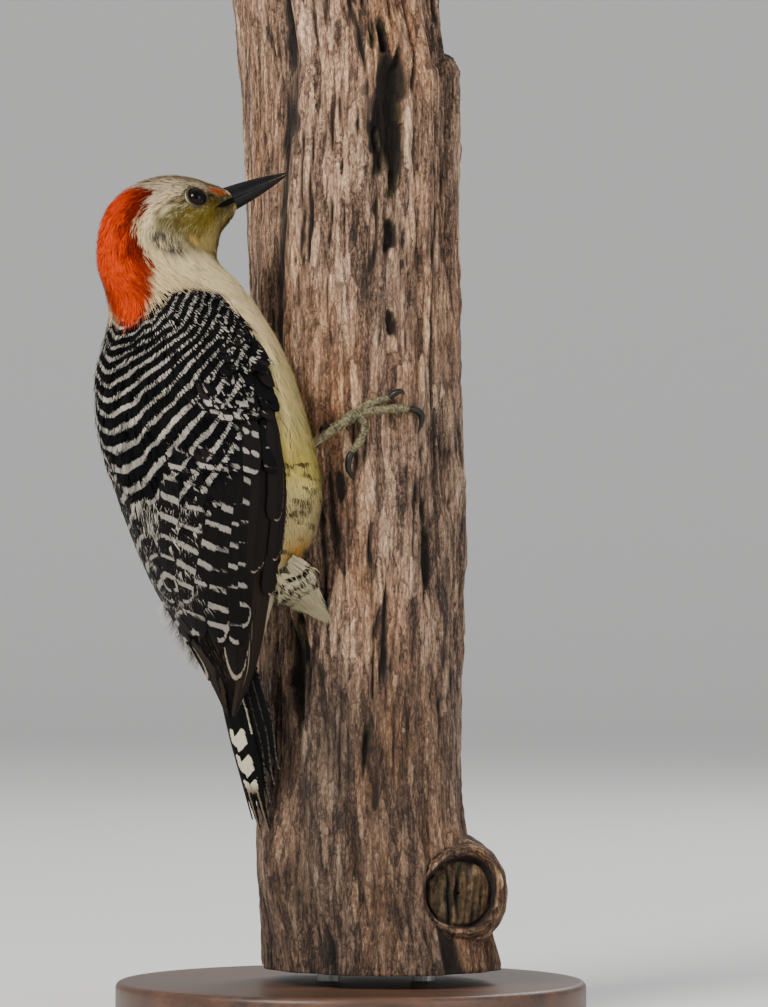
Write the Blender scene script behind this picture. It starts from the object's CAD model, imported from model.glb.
"""A life-size red-bellied woodpecker, dressed for show: its skin, plumage, bill, eyes and feet,
the weathered trunk that it clings to, and the stand.

The plumage is laid by the body's own coordinates. A place is given by its station, at, from 0 at
the bill's base to 20 at the wing tips, and by its angle from the middle of the back, theta, from 0
to 180 degrees down the bird's right side and to -180 down its left. Feathers lie towards the
higher stations. Sizes are in millimetres until a mesh is made.
"""

import math

import bpy
import numpy as np
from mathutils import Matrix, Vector


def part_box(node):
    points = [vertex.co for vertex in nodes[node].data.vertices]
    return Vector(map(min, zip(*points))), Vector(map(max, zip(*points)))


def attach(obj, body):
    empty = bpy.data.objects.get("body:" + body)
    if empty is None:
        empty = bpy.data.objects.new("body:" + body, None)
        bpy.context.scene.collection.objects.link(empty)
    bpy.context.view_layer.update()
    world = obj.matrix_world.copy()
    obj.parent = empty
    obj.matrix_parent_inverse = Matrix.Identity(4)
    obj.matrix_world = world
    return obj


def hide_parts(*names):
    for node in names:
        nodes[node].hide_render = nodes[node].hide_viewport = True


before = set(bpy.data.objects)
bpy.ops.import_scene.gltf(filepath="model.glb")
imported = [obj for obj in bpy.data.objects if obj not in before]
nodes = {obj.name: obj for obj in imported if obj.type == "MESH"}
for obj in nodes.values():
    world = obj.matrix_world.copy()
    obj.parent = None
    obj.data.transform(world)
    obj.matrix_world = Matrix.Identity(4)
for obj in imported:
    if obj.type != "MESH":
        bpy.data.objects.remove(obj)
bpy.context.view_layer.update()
MM = 0.001


# ---- The stand's board --------------------------------------------------------------------
# A turned disc of dark stained beech, waxed to a low shine, with its upper edge rounded over.
# The trunk's two rods are let into its top.
BOARD_RADIUS = 76.0
BOARD_HEIGHT = 12.0
BOARD_ROUND = 2.0


def joined_mesh(name, points, triangles, smooth=True):
    """An object from points in millimetres and triangles that index them."""
    points = np.asarray(points, dtype=np.float32).reshape(-1, 3) * MM
    triangles = np.asarray(triangles, dtype=np.int32).reshape(-1, 3)
    mesh = bpy.data.meshes.new(name)
    mesh.vertices.add(len(points))
    mesh.vertices.foreach_set("co", points.ravel())
    mesh.loops.add(triangles.size)
    mesh.loops.foreach_set("vertex_index", triangles.ravel())
    mesh.polygons.add(len(triangles))
    mesh.polygons.foreach_set("loop_start", np.arange(0, triangles.size, 3, dtype=np.int32))
    mesh.polygons.foreach_set("use_smooth", np.full(len(triangles), smooth))
    mesh.update(calc_edges=True)
    mesh.validate()
    made = bpy.data.objects.new(name, mesh)
    bpy.context.scene.collection.objects.link(made)
    return made


def grid_triangles(rows, columns, closed=False):
    """Triangles over a grid of points, which closed joins from its last column to its first."""
    row, column = np.meshgrid(
        np.arange(rows - 1), np.arange(columns if closed else columns - 1), indexing="ij"
    )
    a = row * columns + column
    b = row * columns + (column + 1) % columns
    c, d = a + columns, b + columns
    return np.stack([a, b, d, a, d, c], -1).reshape(-1, 3)


def smooth(low, high, value):
    """0 below low, 1 above high, with a smooth rise between."""
    share = np.clip((value - low) / (high - low), 0.0, 1.0)
    return share * share * (3 - 2 * share)


def hill(value, centre, spread):
    """A bell curve of height 1."""
    return np.exp(-(((value - centre) / spread) ** 2))


def node(tree, kind, wired=None, **settings):
    """Adds a shader node. wired gives its inputs, by name or number, as sockets or plain values."""
    made = tree.nodes.new("ShaderNode" + kind)
    for name, value in settings.items():
        setattr(made, name, value)
    for name, value in (wired or {}).items():
        if isinstance(value, bpy.types.NodeSocket):
            tree.links.new(value, made.inputs[name])
        else:
            made.inputs[name].default_value = value
    return made


def sums(tree, operation, a, b=0.0, clamp=False):
    """One arithmetic step between values in a material."""
    return node(tree, "Math", {0: a, 1: b}, operation=operation, use_clamp=clamp).outputs[0]


def mixed(tree, share, a, b, blend="MIX"):
    """A mix of two colours in a material."""
    return node(
        tree, "Mix", {0: share, 6: a, 7: b}, data_type="RGBA", blend_type=blend
    ).outputs[2]


def spread_over(tree, value, low, high):
    """A value stretched so that low becomes 0 and high becomes 1."""
    return node(tree, "MapRange", {0: value, 1: low, 2: high}).outputs[0]


def shade(red, green, blue):
    """A paint colour, given as it looks on a screen, as the linear values that a shader takes."""
    screen = np.array((red, green, blue)) / 255
    return np.where(screen <= 0.04045, screen / 12.92, ((screen + 0.055) / 1.055) ** 2.4)


def rgba(colour):
    return (*(float(part) for part in colour), 1.0)


def material(name, roughness, **constants):
    """A new material; its node tree and its shader, whose constant inputs are set here."""
    made = bpy.data.materials.new(name)
    made.use_nodes = True
    tree = made.node_tree
    shader = tree.nodes["Principled BSDF"]
    shader.inputs["Roughness"].default_value = roughness
    for label, value in constants.items():
        shader.inputs[label.replace("_", " ")].default_value = value
    return made, tree, shader


def wire(tree, shader, colour=None, roughness=None, height=None, depth=0.0002, strength=1.0):
    """Feeds a shader its colour and roughness, and its surface relief through a bump."""
    if colour is not None:
        tree.links.new(colour, shader.inputs["Base Color"])
    if roughness is not None:
        tree.links.new(roughness, shader.inputs["Roughness"])
    if height is not None:
        bump = node(tree, "Bump", {"Strength": strength, "Distance": depth, "Height": height})
        tree.links.new(bump.outputs[0], shader.inputs["Normal"])


def stretched_noise(tree, squeeze, scale, detail=4.0, roughness=0.6, distortion=0.0):
    """Noise in the object's own coordinates, drawn out along an axis where squeeze is small."""
    place = node(tree, "TexCoord").outputs["Object"]
    drawn = node(tree, "Mapping", {0: place, "Scale": squeeze}).outputs[0]
    return node(
        tree,
        "TexNoise",
        {0: drawn, "Scale": scale, "Detail": detail, "Roughness": roughness,
         "Distortion": distortion},
    ).outputs[0]


def turned(name, profile, segments, centre=(0.0, 0.0)):
    """A turned piece from a profile of (radius, height), closed at both ends on its axis."""
    angle = np.arange(segments) * math.tau / segments
    rings = [
        np.stack(
            [centre[0] + r * np.cos(angle), centre[1] + r * np.sin(angle), np.full(segments, z)], -1
        )
        for r, z in profile
    ]
    return joined_mesh(name, np.concatenate(rings), grid_triangles(len(rings), segments, True))


rounded = [
    (BOARD_RADIUS - BOARD_ROUND * (1 - math.sin(a)), BOARD_HEIGHT - BOARD_ROUND * (1 - math.cos(a)))
    for a in (math.radians(d) for d in range(90, -1, -15))
]
board = turned(
    "stand_board_turned",
    [(0.01, 0.0), (BOARD_RADIUS - 1.0, 0.0), (BOARD_RADIUS, 0.8)]
    + rounded
    + [(r, BOARD_HEIGHT) for r in (60.0, 40.0, 20.0, 0.01)],
    128,
)
stained, tree, shader = material("stained beech", 0.38, Coat_Weight=0.25, Coat_Roughness=0.3)
rays = stretched_noise(tree, (0.12, 1.0, 1.0), 90.0, distortion=0.6)
pores = stretched_noise(tree, (0.05, 1.0, 1.0), 900.0, detail=2.0)
grain = sums(tree, "ADD", sums(tree, "MULTIPLY", rays, 0.7), sums(tree, "MULTIPLY", pores, 0.3))
wire(
    tree,
    shader,
    mixed(
        tree, spread_over(tree, grain, 0.35, 0.65), rgba(shade(48, 30, 20)), rgba(shade(98, 64, 42))
    ),
    spread_over(tree, grain, -0.6, 1.6),
    pores,
    0.0001,
)
board.data.materials.append(stained)
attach(board, "root")
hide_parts("stand_base")


# ---- The stand's rods ---------------------------------------------------------------------
# Two short rods of brushed stainless steel, pressed into the board and the trunk's foot.
brushed, tree, shader = material("brushed steel", 0.3, Metallic=1.0)
scratches = stretched_noise(tree, (1.0, 1.0, 0.04), 2600.0, detail=2.0)
wire(
    tree,
    shader,
    mixed(tree, scratches, rgba(shade(150, 150, 148)), rgba(shade(205, 205, 202))),
    spread_over(tree, scratches, -0.6, 2.2),
    scratches,
    0.00003,
)
for name in ("stand_rod_1", "stand_rod_2"):
    nodes[name].data.materials.clear()
    nodes[name].data.materials.append(brushed)


# ---- The trunk ----------------------------------------------------------------------------
# A cut length of dead trunk that has lost its bark: grey-brown fibres split by long cracks, with
# a side that has rotted back behind a long step, and moss in its hollows. Both ends are sawn.
PERCH_FOOT, PERCH_TOP = 16.5, 330.0
PERCH_STATIONS = np.array(
    (
        (16.5, 8.0, -4.0, 38.6),
        (38.0, 4.6, -3.0, 36.0),
        (73.0, 1.2, -2.0, 34.6),
        (148.0, 1.2, -1.0, 35.4),
        (236.0, -1.0, 0.0, 36.0),
        (306.0, -1.2, 0.0, 36.0),
        (330.0, -5.0, 0.0, 33.4),
    )
)
BODY_TURN = 42.0  # the azimuth that the bird clings on
STEP_DEPTH, STEP_AZIMUTH, STEP_WANDER, STEP_SPAN = 3.2, 60.0, 7.0, 95.0
RIBS = (  # the main ribs of the wood: (azimuth at the foot, azimuth at the top, height)
    (38.0, 30.0, 1.7),
    (70.0, 62.0, 1.5),
    (100.0, 92.0, 2.0),
    (118.0, 122.0, 2.2),
    (146.0, 140.0, 2.0),
    (166.0, 164.0, 2.4),
    (190.0, 196.0, 2.2),
    (222.0, 218.0, 2.6),
    (246.0, 252.0, 2.0),
    (274.0, 282.0, 2.6),
    (306.0, 300.0, 2.2),
    (336.0, 338.0, 2.4),
)
RIB_SPREAD, RIB_WANDER, RIB_GROOVE, CLING_FLAT = 8.0, 3.5, 0.9, 0.65
TRUNK_ROUND, TRUNK_UP = 288, 318  # points round the trunk and up it
TRUNK_END_RINGS = 9
KNOT_CENTRE = np.array((35.4, -29.0, 42.2))  # of the branch stub, whose socket is cut in the trunk
KNOT_AXIS = np.array((0.36, -0.92, 0.14)) / np.linalg.norm((0.36, -0.92, 0.14))
KNOT_RADIUS = 15.0
HOLLOWS = (  # (azimuth, its spread, up, its spread, depth): rotten hollows, then beetle pits
    (112.0, 9.5, 292.0, 24.0, 4.6),
    (57.0, 8.0, 113.0, 18.0, 4.2),
    (128.0, 7.0, 20.0, 20.0, 2.0),
    (101.0, 7.0, 289.0, 10.0, 0.8),
    (112.0, 3.2, 250.5, 5.0, 2.6),
    (113.0, 2.6, 224.0, 4.0, 2.4),
    (84.0, 2.4, 172.0, 5.0, 1.6),
    (131.0, 3.0, 148.0, 9.0, 1.8),
    (97.0, 2.4, 90.0, 7.0, 1.7),
    (30.0, 3.0, 262.0, 6.0, 1.7),
    (200.0, 4.0, 240.0, 9.0, 2.4),
    (255.0, 6.0, 120.0, 16.0, 3.0),
    (310.0, 3.0, 190.0, 7.0, 2.2),
)


def through(table, at):
    """Rows of a table at fractional places, on a smooth curve through its rows."""
    last = len(table) - 1
    at = np.clip(at, 0, last)
    first = np.minimum(at.astype(int), last - 1)
    t = (at - first)[..., None]
    a, b, c, d = (table[np.clip(first + step, 0, last)] for step in (-1, 0, 1, 2))
    return b + 0.5 * t * (c - a + t * (2 * a - 5 * b + 4 * c - d + t * (3 * b - a - 3 * c + d)))


def perch_station(up):
    """The trunk's axis (x, y) and its plain radius at a height."""
    up = np.asarray(up, dtype=float)
    heights = PERCH_STATIONS[:, 0]
    first = np.clip(np.searchsorted(heights, up, side="right") - 1, 0, len(heights) - 2)
    share = (up - heights[first]) / (heights[first + 1] - heights[first])
    return np.moveaxis(through(PERCH_STATIONS, first + share)[..., 1:], -1, 0)


def back_from_step(azimuth, up):
    """How far round a place is behind the long step, in degrees."""
    return (STEP_AZIMUTH + STEP_WANDER * np.sin((up + 22) / 42) - azimuth) % 360


def perch_radius(azimuth, up):
    """The trunk's radius: a taper, slow lobes, a side set back behind a long step, and swellings."""
    angle = np.radians(azimuth)
    radius = perch_station(up)[2]
    radius = radius + 0.9 * np.cos(2 * angle + 1.2 + up / 90) + 0.6 * np.cos(3 * angle - up / 60)
    radius = radius + 0.5 * np.sin(7 * angle + up / 35) + 0.35 * np.sin(11 * angle - up / 50)
    back = back_from_step(azimuth, up)
    radius = radius - STEP_DEPTH * smooth(0, 9, back) * (1 - smooth(STEP_SPAN - 40, STEP_SPAN, back))
    for height, at_azimuth, azimuth_spread, at_up, up_spread in (
        (6.2, 36, 24, 50, 20),  # the ledge under the tail
        (2.5, 140, 28, 38, 24),  # round the knot
    ):
        away = (azimuth - at_azimuth + 180) % 360 - 180
        radius = radius + height * hill(away, 0, azimuth_spread) * hill(up, at_up, up_spread)
    ribs = -RIB_GROOVE
    share = (up - PERCH_FOOT) / (PERCH_TOP - PERCH_FOOT)
    for number, (at_foot, at_top, height) in enumerate(RIBS):
        middle = at_foot + (at_top - at_foot) * share + RIB_WANDER * np.sin(up / 30 + 2 * number)
        fading = 0.75 + 0.25 * np.sin(up / 24 + 4 * number)
        ribs = ribs + height * fading * hill((azimuth - middle + 180) % 360 - 180, 0, RIB_SPREAD)
    return radius + ribs * (1 - CLING_FLAT * near_feet(azimuth, up))


def near_feet(azimuth, up):
    """1 where the feet cling, falling to 0 round them."""
    return hill((azimuth - BODY_TURN + 180) % 360 - 180, 0, 85) * hill(up, 185, 40)


def on_perch(azimuth, up, lift=0.0):
    """The point at that azimuth and height, lifted off the wood."""
    angle = np.radians(azimuth)
    x, y, _ = perch_station(up)
    radius = perch_radius(azimuth, up) + lift
    return np.stack(np.broadcast_arrays(x - np.cos(angle) * radius, y - np.sin(angle) * radius, up), -1)


def patchy(u, v, across, along, seed):
    """Smooth random values from 0 to 1, in cells across (closed on itself) and along."""
    table = np.random.default_rng(seed).random((along + 3, across))
    x, y = (u % 1.0) * across, np.clip(v, 0.0, 1.0) * along
    i, j = np.floor(x).astype(int), np.floor(y).astype(int)
    fx, fy = x - i, y - j
    fx, fy = fx * fx * (3 - 2 * fx), fy * fy * (3 - 2 * fy)
    i0, i1 = i % across, (i + 1) % across
    low = table[j, i0] * (1 - fx) + table[j, i1] * fx
    high = table[j + 1, i0] * (1 - fx) + table[j + 1, i1] * fx
    return low * (1 - fy) + high * fy


def crease(u, v, across, along, seed, width):
    """1 along winding lines up the grain, falling to 0 beside them and where they would turn across."""
    value = patchy(u, v, across, along, seed)
    step = 0.25 / across
    slope = np.abs(patchy(u + step, v, across, along, seed) - patchy(u - step, v, across, along, seed))
    return (1 - smooth(0.0, width, np.abs(value - 0.5))) * smooth(0.03, 0.12, slope)


def flaked(u, v, across, along, seed, edge=0.10):
    """Long flakes at two levels with steep edges, from 0 to 1."""
    return smooth(0.5 - edge, 0.5 + edge, patchy(u, v, across, along, seed))


def weathered(azimuth, up):
    """The wood's relief in millimetres, how deep in a crack a place is, and how mossy it is."""
    u = azimuth / 360
    v = (up - PERCH_FOOT) / (PERCH_TOP - PERCH_FOOT)
    u = u + 0.010 * (patchy(u, v, 9, 7, 1) - 0.5) + 0.004 * (patchy(u, v, 24, 30, 2) - 0.5)
    plates = flaked(u, v, 38, 9, 3, 0.05)
    strips = flaked(u, v, 66, 20, 4, 0.10)
    splinters = flaked(u, v, 131, 44, 5, 0.25)
    hairs = patchy(u, v, 143, 104, 6) - 0.5
    deep = crease(u, v, 46, 5, 7, 0.085) * smooth(0.28, 0.55, patchy(u, v, 20, 9, 8))
    fine = crease(u, v, 96, 16, 9, 0.15) * smooth(0.2, 0.5, patchy(u, v, 44, 34, 10))
    back = back_from_step(azimuth, up)
    calm = 1 - 0.5 * smooth(2, 10, back) * (1 - smooth(60, 95, back))
    relief = calm * (0.9 * plates + 0.6 * strips + 0.45 * splinters - 0.9) + 0.35 * hairs
    relief = relief - 1.5 * deep - 0.7 * fine
    relief = relief - 1.0 * hill(back, 5.0, 2.6) + 0.6 * hill((back + 180) % 360 - 180, -1.5, 2.5)
    sunk = 0.0 * relief
    for at_azimuth, azimuth_spread, at_up, up_spread, depth in HOLLOWS:
        away = (azimuth - at_azimuth + 180) % 360 - 180
        ragged = 0.55 + 0.6 * flaked(u, v, 90, 40, 11)
        pit = smooth(0.18, 0.5, hill(away, 0, azimuth_spread) * hill(up, at_up, up_spread) * ragged)
        relief = relief - depth * pit
        sunk = sunk + pit * min(depth / 2, 1.0)
    relief = relief * (1 - 0.6 * near_feet(azimuth, up))
    # the piece that broke off the top, on the side away from the bird
    torn = 306.9 + 9 * (patchy(u, 0.5 + 0 * v, 46, 2, 15) - 0.5)
    broken = smooth(-0.9, 0.9, up - torn) * (PERCH_TOP - up) / 23
    relief = relief - 5.4 * broken * hill((azimuth - 182 + 180) % 360 - 180, 0, 34)
    dark = 0.85 * deep + 0.55 * fine + 1.3 * sunk + 0.26 * (1 - strips) * (1 - splinters)
    groove = hill(back, 7.0, 4.5) * smooth(150, 200, up) * (0.45 + 0.4 * patchy(u, v, 60, 40, 14))
    dark = dark + groove
    moss = hill(sunk, 0.45, 0.22) * smooth(0.25, 0.55, patchy(u, v, 60, 50, 12))
    return relief, np.clip(dark, 0, 1), moss


def wood_tone(azimuth, up):
    """How much paler, above 0, or darker the wood is: a dry tan side, and a damp lower part."""
    u = azimuth / 360
    v = (up - PERCH_FOOT) / (PERCH_TOP - PERCH_FOOT)
    tan = hill((azimuth - 117 + 180) % 360 - 180, 0, 17) * smooth(112, 140, up) * smooth(232, 205, up)
    back = back_from_step(azimuth, up)
    rotted = smooth(10, 22, back) * smooth(200, 250, up)
    lip = hill((back + 180) % 360 - 180, -4, 5) * smooth(150, 200, up)
    damp = smooth(135, 95, up) * (0.65 + 0.35 * smooth(140, 60, azimuth))
    drift = patchy(u, v, 13, 9, 13) - 0.5 + 1.1 * (patchy(u, v, 52, 16, 16) - 0.5)
    right = smooth(128, 142, azimuth) * smooth(180, 165, azimuth)
    tone = 0.24 + 0.26 * tan + 0.42 * rotted + 0.4 * lip - 1.0 * damp + 0.5 * drift
    return tone - 0.16 * right


def attribute(made, name, values):
    """Stores a value or a colour for each point of a mesh, for its material to read."""
    values = np.asarray(values, dtype=np.float32)
    if values.ndim == 1:
        made.data.attributes.new(name, "FLOAT", "POINT").data.foreach_set("value", values)
        return
    coloured = np.concatenate([values, np.ones((len(values), 1), dtype=np.float32)], 1)
    layer = made.data.attributes.new(name, "FLOAT_COLOR", "POINT")
    layer.data.foreach_set("color", coloured.ravel())


def unwrapped(made, name, places, lap=0.0):
    """A UV map from one (u, v) for each point of a mesh, or for each corner of its triangles.

    Where the mesh closes on itself, lap is how far u runs once round it.
    """
    places = np.asarray(places, dtype=np.float32)
    if places.ndim == 2:
        corners = np.empty(len(made.data.loops), dtype=np.int32)
        made.data.loops.foreach_get("vertex_index", corners)
        places = places[corners].reshape(-1, 3, 2)
    if lap:
        u = places[..., 0]
        u += lap * (u.max(1, keepdims=True) - u > 0.51 * lap)
    layer = made.data.uv_layers.new(name=name)
    layer.data.foreach_set("uv", places.ravel())


rows = np.linspace(PERCH_FOOT, PERCH_TOP, TRUNK_UP)
azimuths = np.arange(TRUNK_ROUND) * 360 / TRUNK_ROUND
AZ, UP = np.meshgrid(azimuths, rows)
relief, dark, moss = weathered(AZ, UP)
near_cut = smooth(0, 2, UP - PERCH_FOOT) * smooth(0, 2, PERCH_TOP - UP)
side_points = on_perch(AZ, UP, relief * (0.4 + 0.6 * near_cut))
from_knot = side_points - KNOT_CENTRE
out = from_knot @ KNOT_AXIS
off_axis = np.linalg.norm(from_knot - out[..., None] * KNOT_AXIS, axis=-1)
socket = smooth(0.98 * KNOT_RADIUS, 0.84 * KNOT_RADIUS, off_axis) * (out > -12)
side_points = side_points - (np.maximum(out + 5.0, 0) * socket)[..., None] * KNOT_AXIS
end_points, end_dark = [], []
for ring, centre_up in ((side_points[0], PERCH_FOOT), (side_points[-1], PERCH_TOP)):
    x, y, _ = perch_station(centre_up)
    for k in range(1, TRUNK_END_RINGS + 1):
        share = 1 - 0.999 * k / TRUNK_END_RINGS
        end_points.append(np.array((x, y, centre_up)) * (1 - share) + ring * share)
        end_dark.append(np.zeros(TRUNK_ROUND))
side_faces = grid_triangles(TRUNK_UP, TRUNK_ROUND, True)
count = TRUNK_UP * TRUNK_ROUND
foot_rows = np.concatenate([side_points[:1], end_points[:TRUNK_END_RINGS]])
foot_index = np.concatenate(
    [np.arange(TRUNK_ROUND), count + np.arange(TRUNK_END_RINGS * TRUNK_ROUND)]
)
top_index = np.concatenate(
    [
        np.arange(count - TRUNK_ROUND, count),
        count + np.arange(TRUNK_END_RINGS * TRUNK_ROUND, 2 * TRUNK_END_RINGS * TRUNK_ROUND),
    ]
)
end_faces = grid_triangles(TRUNK_END_RINGS + 1, TRUNK_ROUND, True)
trunk_points = np.concatenate([side_points.reshape(-1, 3), np.concatenate(end_points)])
trunk_faces = np.concatenate(
    [side_faces[:, ::-1], foot_index[end_faces], top_index[end_faces][:, ::-1]]
)
trunk = joined_mesh("trunk", trunk_points, trunk_faces)
attribute(trunk, "crack", np.concatenate([dark.ravel(), np.concatenate(end_dark)]))
attribute(trunk, "moss", np.concatenate([moss.ravel(), np.concatenate(end_dark)]))
relief_share = np.clip(0.5 + relief / 5, 0, 1).ravel()
attribute(trunk, "proud", np.concatenate([relief_share, np.concatenate(end_dark) + 0.5]))
attribute(trunk, "tone", np.concatenate([wood_tone(AZ, UP).ravel(), np.concatenate(end_dark)]))
is_end = np.zeros(len(trunk_faces), dtype=np.int32)
is_end[len(side_faces) :] = 1
x, y, up = trunk_points.T
on_end = np.stack([0.93 + x / 1300, np.where(up > 100, 0.75, 0.25) + y / 400], -1)
on_side = np.stack([0.86 * AZ / 360, (UP - PERCH_FOOT) / (PERCH_TOP - PERCH_FOOT)], -1)
on_side = np.concatenate([on_side.reshape(-1, 2), on_end[count:]])
places = np.where(is_end[:, None, None] > 0, on_end[trunk_faces], on_side[trunk_faces])
unwrapped(trunk, "OFBake", places, 0.86)
trunk.data.materials.append(None)
trunk.data.materials.append(None)
trunk.data.polygons.foreach_set("material_index", is_end)

dead_wood, tree, shader = material("weathered wood", 0.88)
crack = node(tree, "Attribute", attribute_name="crack").outputs["Fac"]
mossy = node(tree, "Attribute", attribute_name="moss").outputs["Fac"]
proud = node(tree, "Attribute", attribute_name="proud").outputs["Fac"]
paler = node(tree, "Attribute", attribute_name="tone").outputs["Fac"]
fibre = stretched_noise(tree, (1.0, 1.0, 0.14), 1000.0, detail=7.0, roughness=0.72)
speckle = stretched_noise(tree, (1.0, 1.0, 0.42), 1500.0, detail=6.0, roughness=0.8)
blotch = stretched_noise(tree, (1.0, 1.0, 0.3), 34.0, detail=4.0)
wander = node(tree, "TexNoise", {0: node(tree, "TexCoord").outputs["Object"], "Scale": 700.0,
                                 "Detail": 4.0}).outputs["Color"]
bent = node(tree, "VectorMath", {0: node(tree, "TexCoord").outputs["Object"],
                                 1: node(tree, "VectorMath", {0: wander, "Scale": 0.0016},
                                         operation="SCALE").outputs[0]}, operation="ADD").outputs[0]
chip_place = node(tree, "Mapping", {0: bent, "Scale": (1.0, 1.0, 0.13)}).outputs[0]
chips = node(tree, "TexVoronoi", {0: chip_place, "Scale": 420.0})
chip_edge = node(tree, "TexVoronoi", {0: chip_place, "Scale": 420.0},
                 feature="DISTANCE_TO_EDGE").outputs["Distance"]
chip_tone = node(tree, "SeparateColor", {0: chips.outputs["Color"]}).outputs[0]
gaps = spread_over(tree, chip_edge, 0.07, 0.0)
gaps = sums(tree, "MULTIPLY", gaps, spread_over(tree, speckle, 0.42, 0.6), True)
tone = sums(tree, "ADD", sums(tree, "MULTIPLY", fibre, 0.75), sums(tree, "MULTIPLY", proud, 0.22))
tone = sums(tree, "ADD", tone, sums(tree, "MULTIPLY", sums(tree, "SUBTRACT", speckle, 0.5), 0.95))
tone = sums(tree, "ADD", tone, sums(tree, "MULTIPLY", sums(tree, "SUBTRACT", chip_tone, 0.5), 0.20))
tone = sums(tree, "ADD", tone, sums(tree, "MULTIPLY", sums(tree, "SUBTRACT", blotch, 0.5), 0.45))
wood = node(tree, "ValToRGB", {0: tone})
ramp = wood.color_ramp.elements
ramp[0].position, ramp[0].color = 0.26, rgba(shade(30, 20, 13))
ramp[1].position, ramp[1].color = 0.84, rgba(shade(246, 220, 190))
for position, colour in ((0.38, (84, 61, 45)), (0.50, (142, 110, 86)), (0.62, (182, 148, 118))):
    stop = ramp.new(position)
    stop.color = rgba(shade(*colour))
wood = mixed(tree, spread_over(tree, blotch, 0.46, 0.70), wood.outputs[0],
             rgba(shade(128, 106, 78)), "SOFT_LIGHT")
wood = node(tree, "HueSaturation", {"Value": sums(tree, "ADD", sums(tree, "MULTIPLY", paler, 0.6), 1.0),
                                    "Saturation": 0.95, "Color": wood}).outputs[0]
torn = sums(tree, "ADD", crack, sums(tree, "MULTIPLY", sums(tree, "SUBTRACT", speckle, 0.5), 1.1))
torn = sums(tree, "MULTIPLY", spread_over(tree, torn, 0.22, 0.75), 0.94, True)
darkness = sums(tree, "MAXIMUM", torn, sums(tree, "MULTIPLY", gaps, 0.7))
wood = mixed(tree, sums(tree, "MULTIPLY", darkness, 1.0, True), wood, rgba(shade(26, 18, 12)))
green = sums(tree, "MULTIPLY", mossy, spread_over(tree, speckle, 0.38, 0.6), True)
wood = mixed(tree, green, wood, rgba(shade(74, 66, 24)))
relief_height = sums(tree, "ADD", fibre, sums(tree, "MULTIPLY", speckle, 0.7))
relief_height = sums(tree, "SUBTRACT", relief_height, sums(tree, "MULTIPLY", gaps, 0.8))
wire(tree, shader, wood, sums(tree, "SUBTRACT", 0.98, sums(tree, "MULTIPLY", proud, 0.2)),
     relief_height, 0.0010)
trunk.data.materials[0] = dead_wood

sawn, tree, shader = material("sawn end grain", 0.8)
place = node(tree, "Mapping", {0: node(tree, "TexCoord").outputs["Object"],
                               "Location": (0.007, -0.003, 0.0), "Scale": (1.0, 1.13, 1.0)}).outputs[0]
rings = node(tree, "TexWave", {0: place, "Scale": 205.0, "Distortion": 5.0, "Detail": 3.0,
                               "Detail Scale": 0.35, "Detail Roughness": 0.6},
             wave_type="RINGS", rings_direction="Z").outputs["Fac"]
sawmarks = stretched_noise(tree, (1.0, 0.05, 1.0), 700.0, detail=2.0)
stained = stretched_noise(tree, (1.0, 1.0, 1.0), 60.0, detail=6.0, roughness=0.7)
pale = sums(tree, "ADD", sums(tree, "MULTIPLY", rings, 0.35), sums(tree, "MULTIPLY", sawmarks, 0.4))
end_grain = mixed(tree, pale, rgba(shade(104, 78, 56)), rgba(shade(178, 146, 112)))
end_grain = mixed(tree, spread_over(tree, stained, 0.48, 0.72), end_grain, rgba(shade(84, 66, 52)))
wire(tree, shader, end_grain, None, sums(tree, "ADD", sawmarks, rings), 0.0003)
trunk.data.materials[1] = sawn
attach(trunk, "root")
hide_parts("perch")


# ---- The knot -----------------------------------------------------------------------------
# The stub of a lost branch, low on the trunk: wood grown over it in a rolled collar, with a dark
# rim and a sunken, split heart.
KNOT_PROFILE = (  # (share of the radius, how far out), from inside the trunk to the heart
    (1.52, -24.0),
    (1.38, -16.0),
    (1.26, -9.0),
    (1.15, -4.2),
    (1.06, -1.2),
    (0.99, 0.7),
    (0.92, 1.6),
    (0.85, 1.2),
    (0.80, -0.3),
    (0.765, -2.4),
    (0.73, -3.4),
    (0.67, -2.2),
    (0.55, -1.5),
    (0.40, -1.2),
    (0.22, -1.4),
    (0.02, -2.0),
)
KNOT_ROUND = 150


def frame_across(axis):
    """Two directions square to an axis: level, and as near to up as can be."""
    level = np.cross(axis, (0.0, 0.0, 1.0))
    level = level / np.linalg.norm(level)
    return level, np.cross(level, axis)


level, rising = frame_across(KNOT_AXIS)
angles = np.arange(KNOT_ROUND) * math.tau / KNOT_ROUND
steps = np.linspace(0, len(KNOT_PROFILE) - 1, 76)
profile = through(np.array(KNOT_PROFILE), steps)
A, S = np.meshgrid(angles / math.tau, steps / steps[-1])
share, out = profile[:, :1], profile[:, 1:]
lobes = 1 + 0.05 * np.cos(2 * A * math.tau + 0.8) + 0.03 * np.cos(3 * A * math.tau)
wrinkle = patchy(A, S, 34, 12, 21) - 0.5
ring_lines = patchy(A, S, 9, 40, 22) - 0.5
heart = smooth(0.66, 0.74, S)
beside, above = share * np.cos(A * math.tau), share * np.sin(A * math.tau)
fibres = patchy(0.5 + 0.42 * beside + 0.05 * above, 0.5 + 0.4 * above, 30, 4, 23) - 0.5
split = crease(0.5 + 0.42 * beside, 0.5 + 0.4 * above, 7, 2, 24, 0.10) * heart
radius = KNOT_RADIUS * share * lobes + 1.1 * wrinkle * (1 - heart)
lift = out + 0.9 * ring_lines * (1 - heart) + 2.0 * fibres * heart - 1.6 * split
knot_points = (
    KNOT_CENTRE
    + (level * np.cos(A * math.tau)[..., None] + rising * np.sin(A * math.tau)[..., None])
    * radius[..., None]
    + KNOT_AXIS * lift[..., None]
)
knot = joined_mesh("knot", knot_points, grid_triangles(len(steps), KNOT_ROUND, True))
rim = hill(share, 0.755, 0.05) + 0 * A
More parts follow.
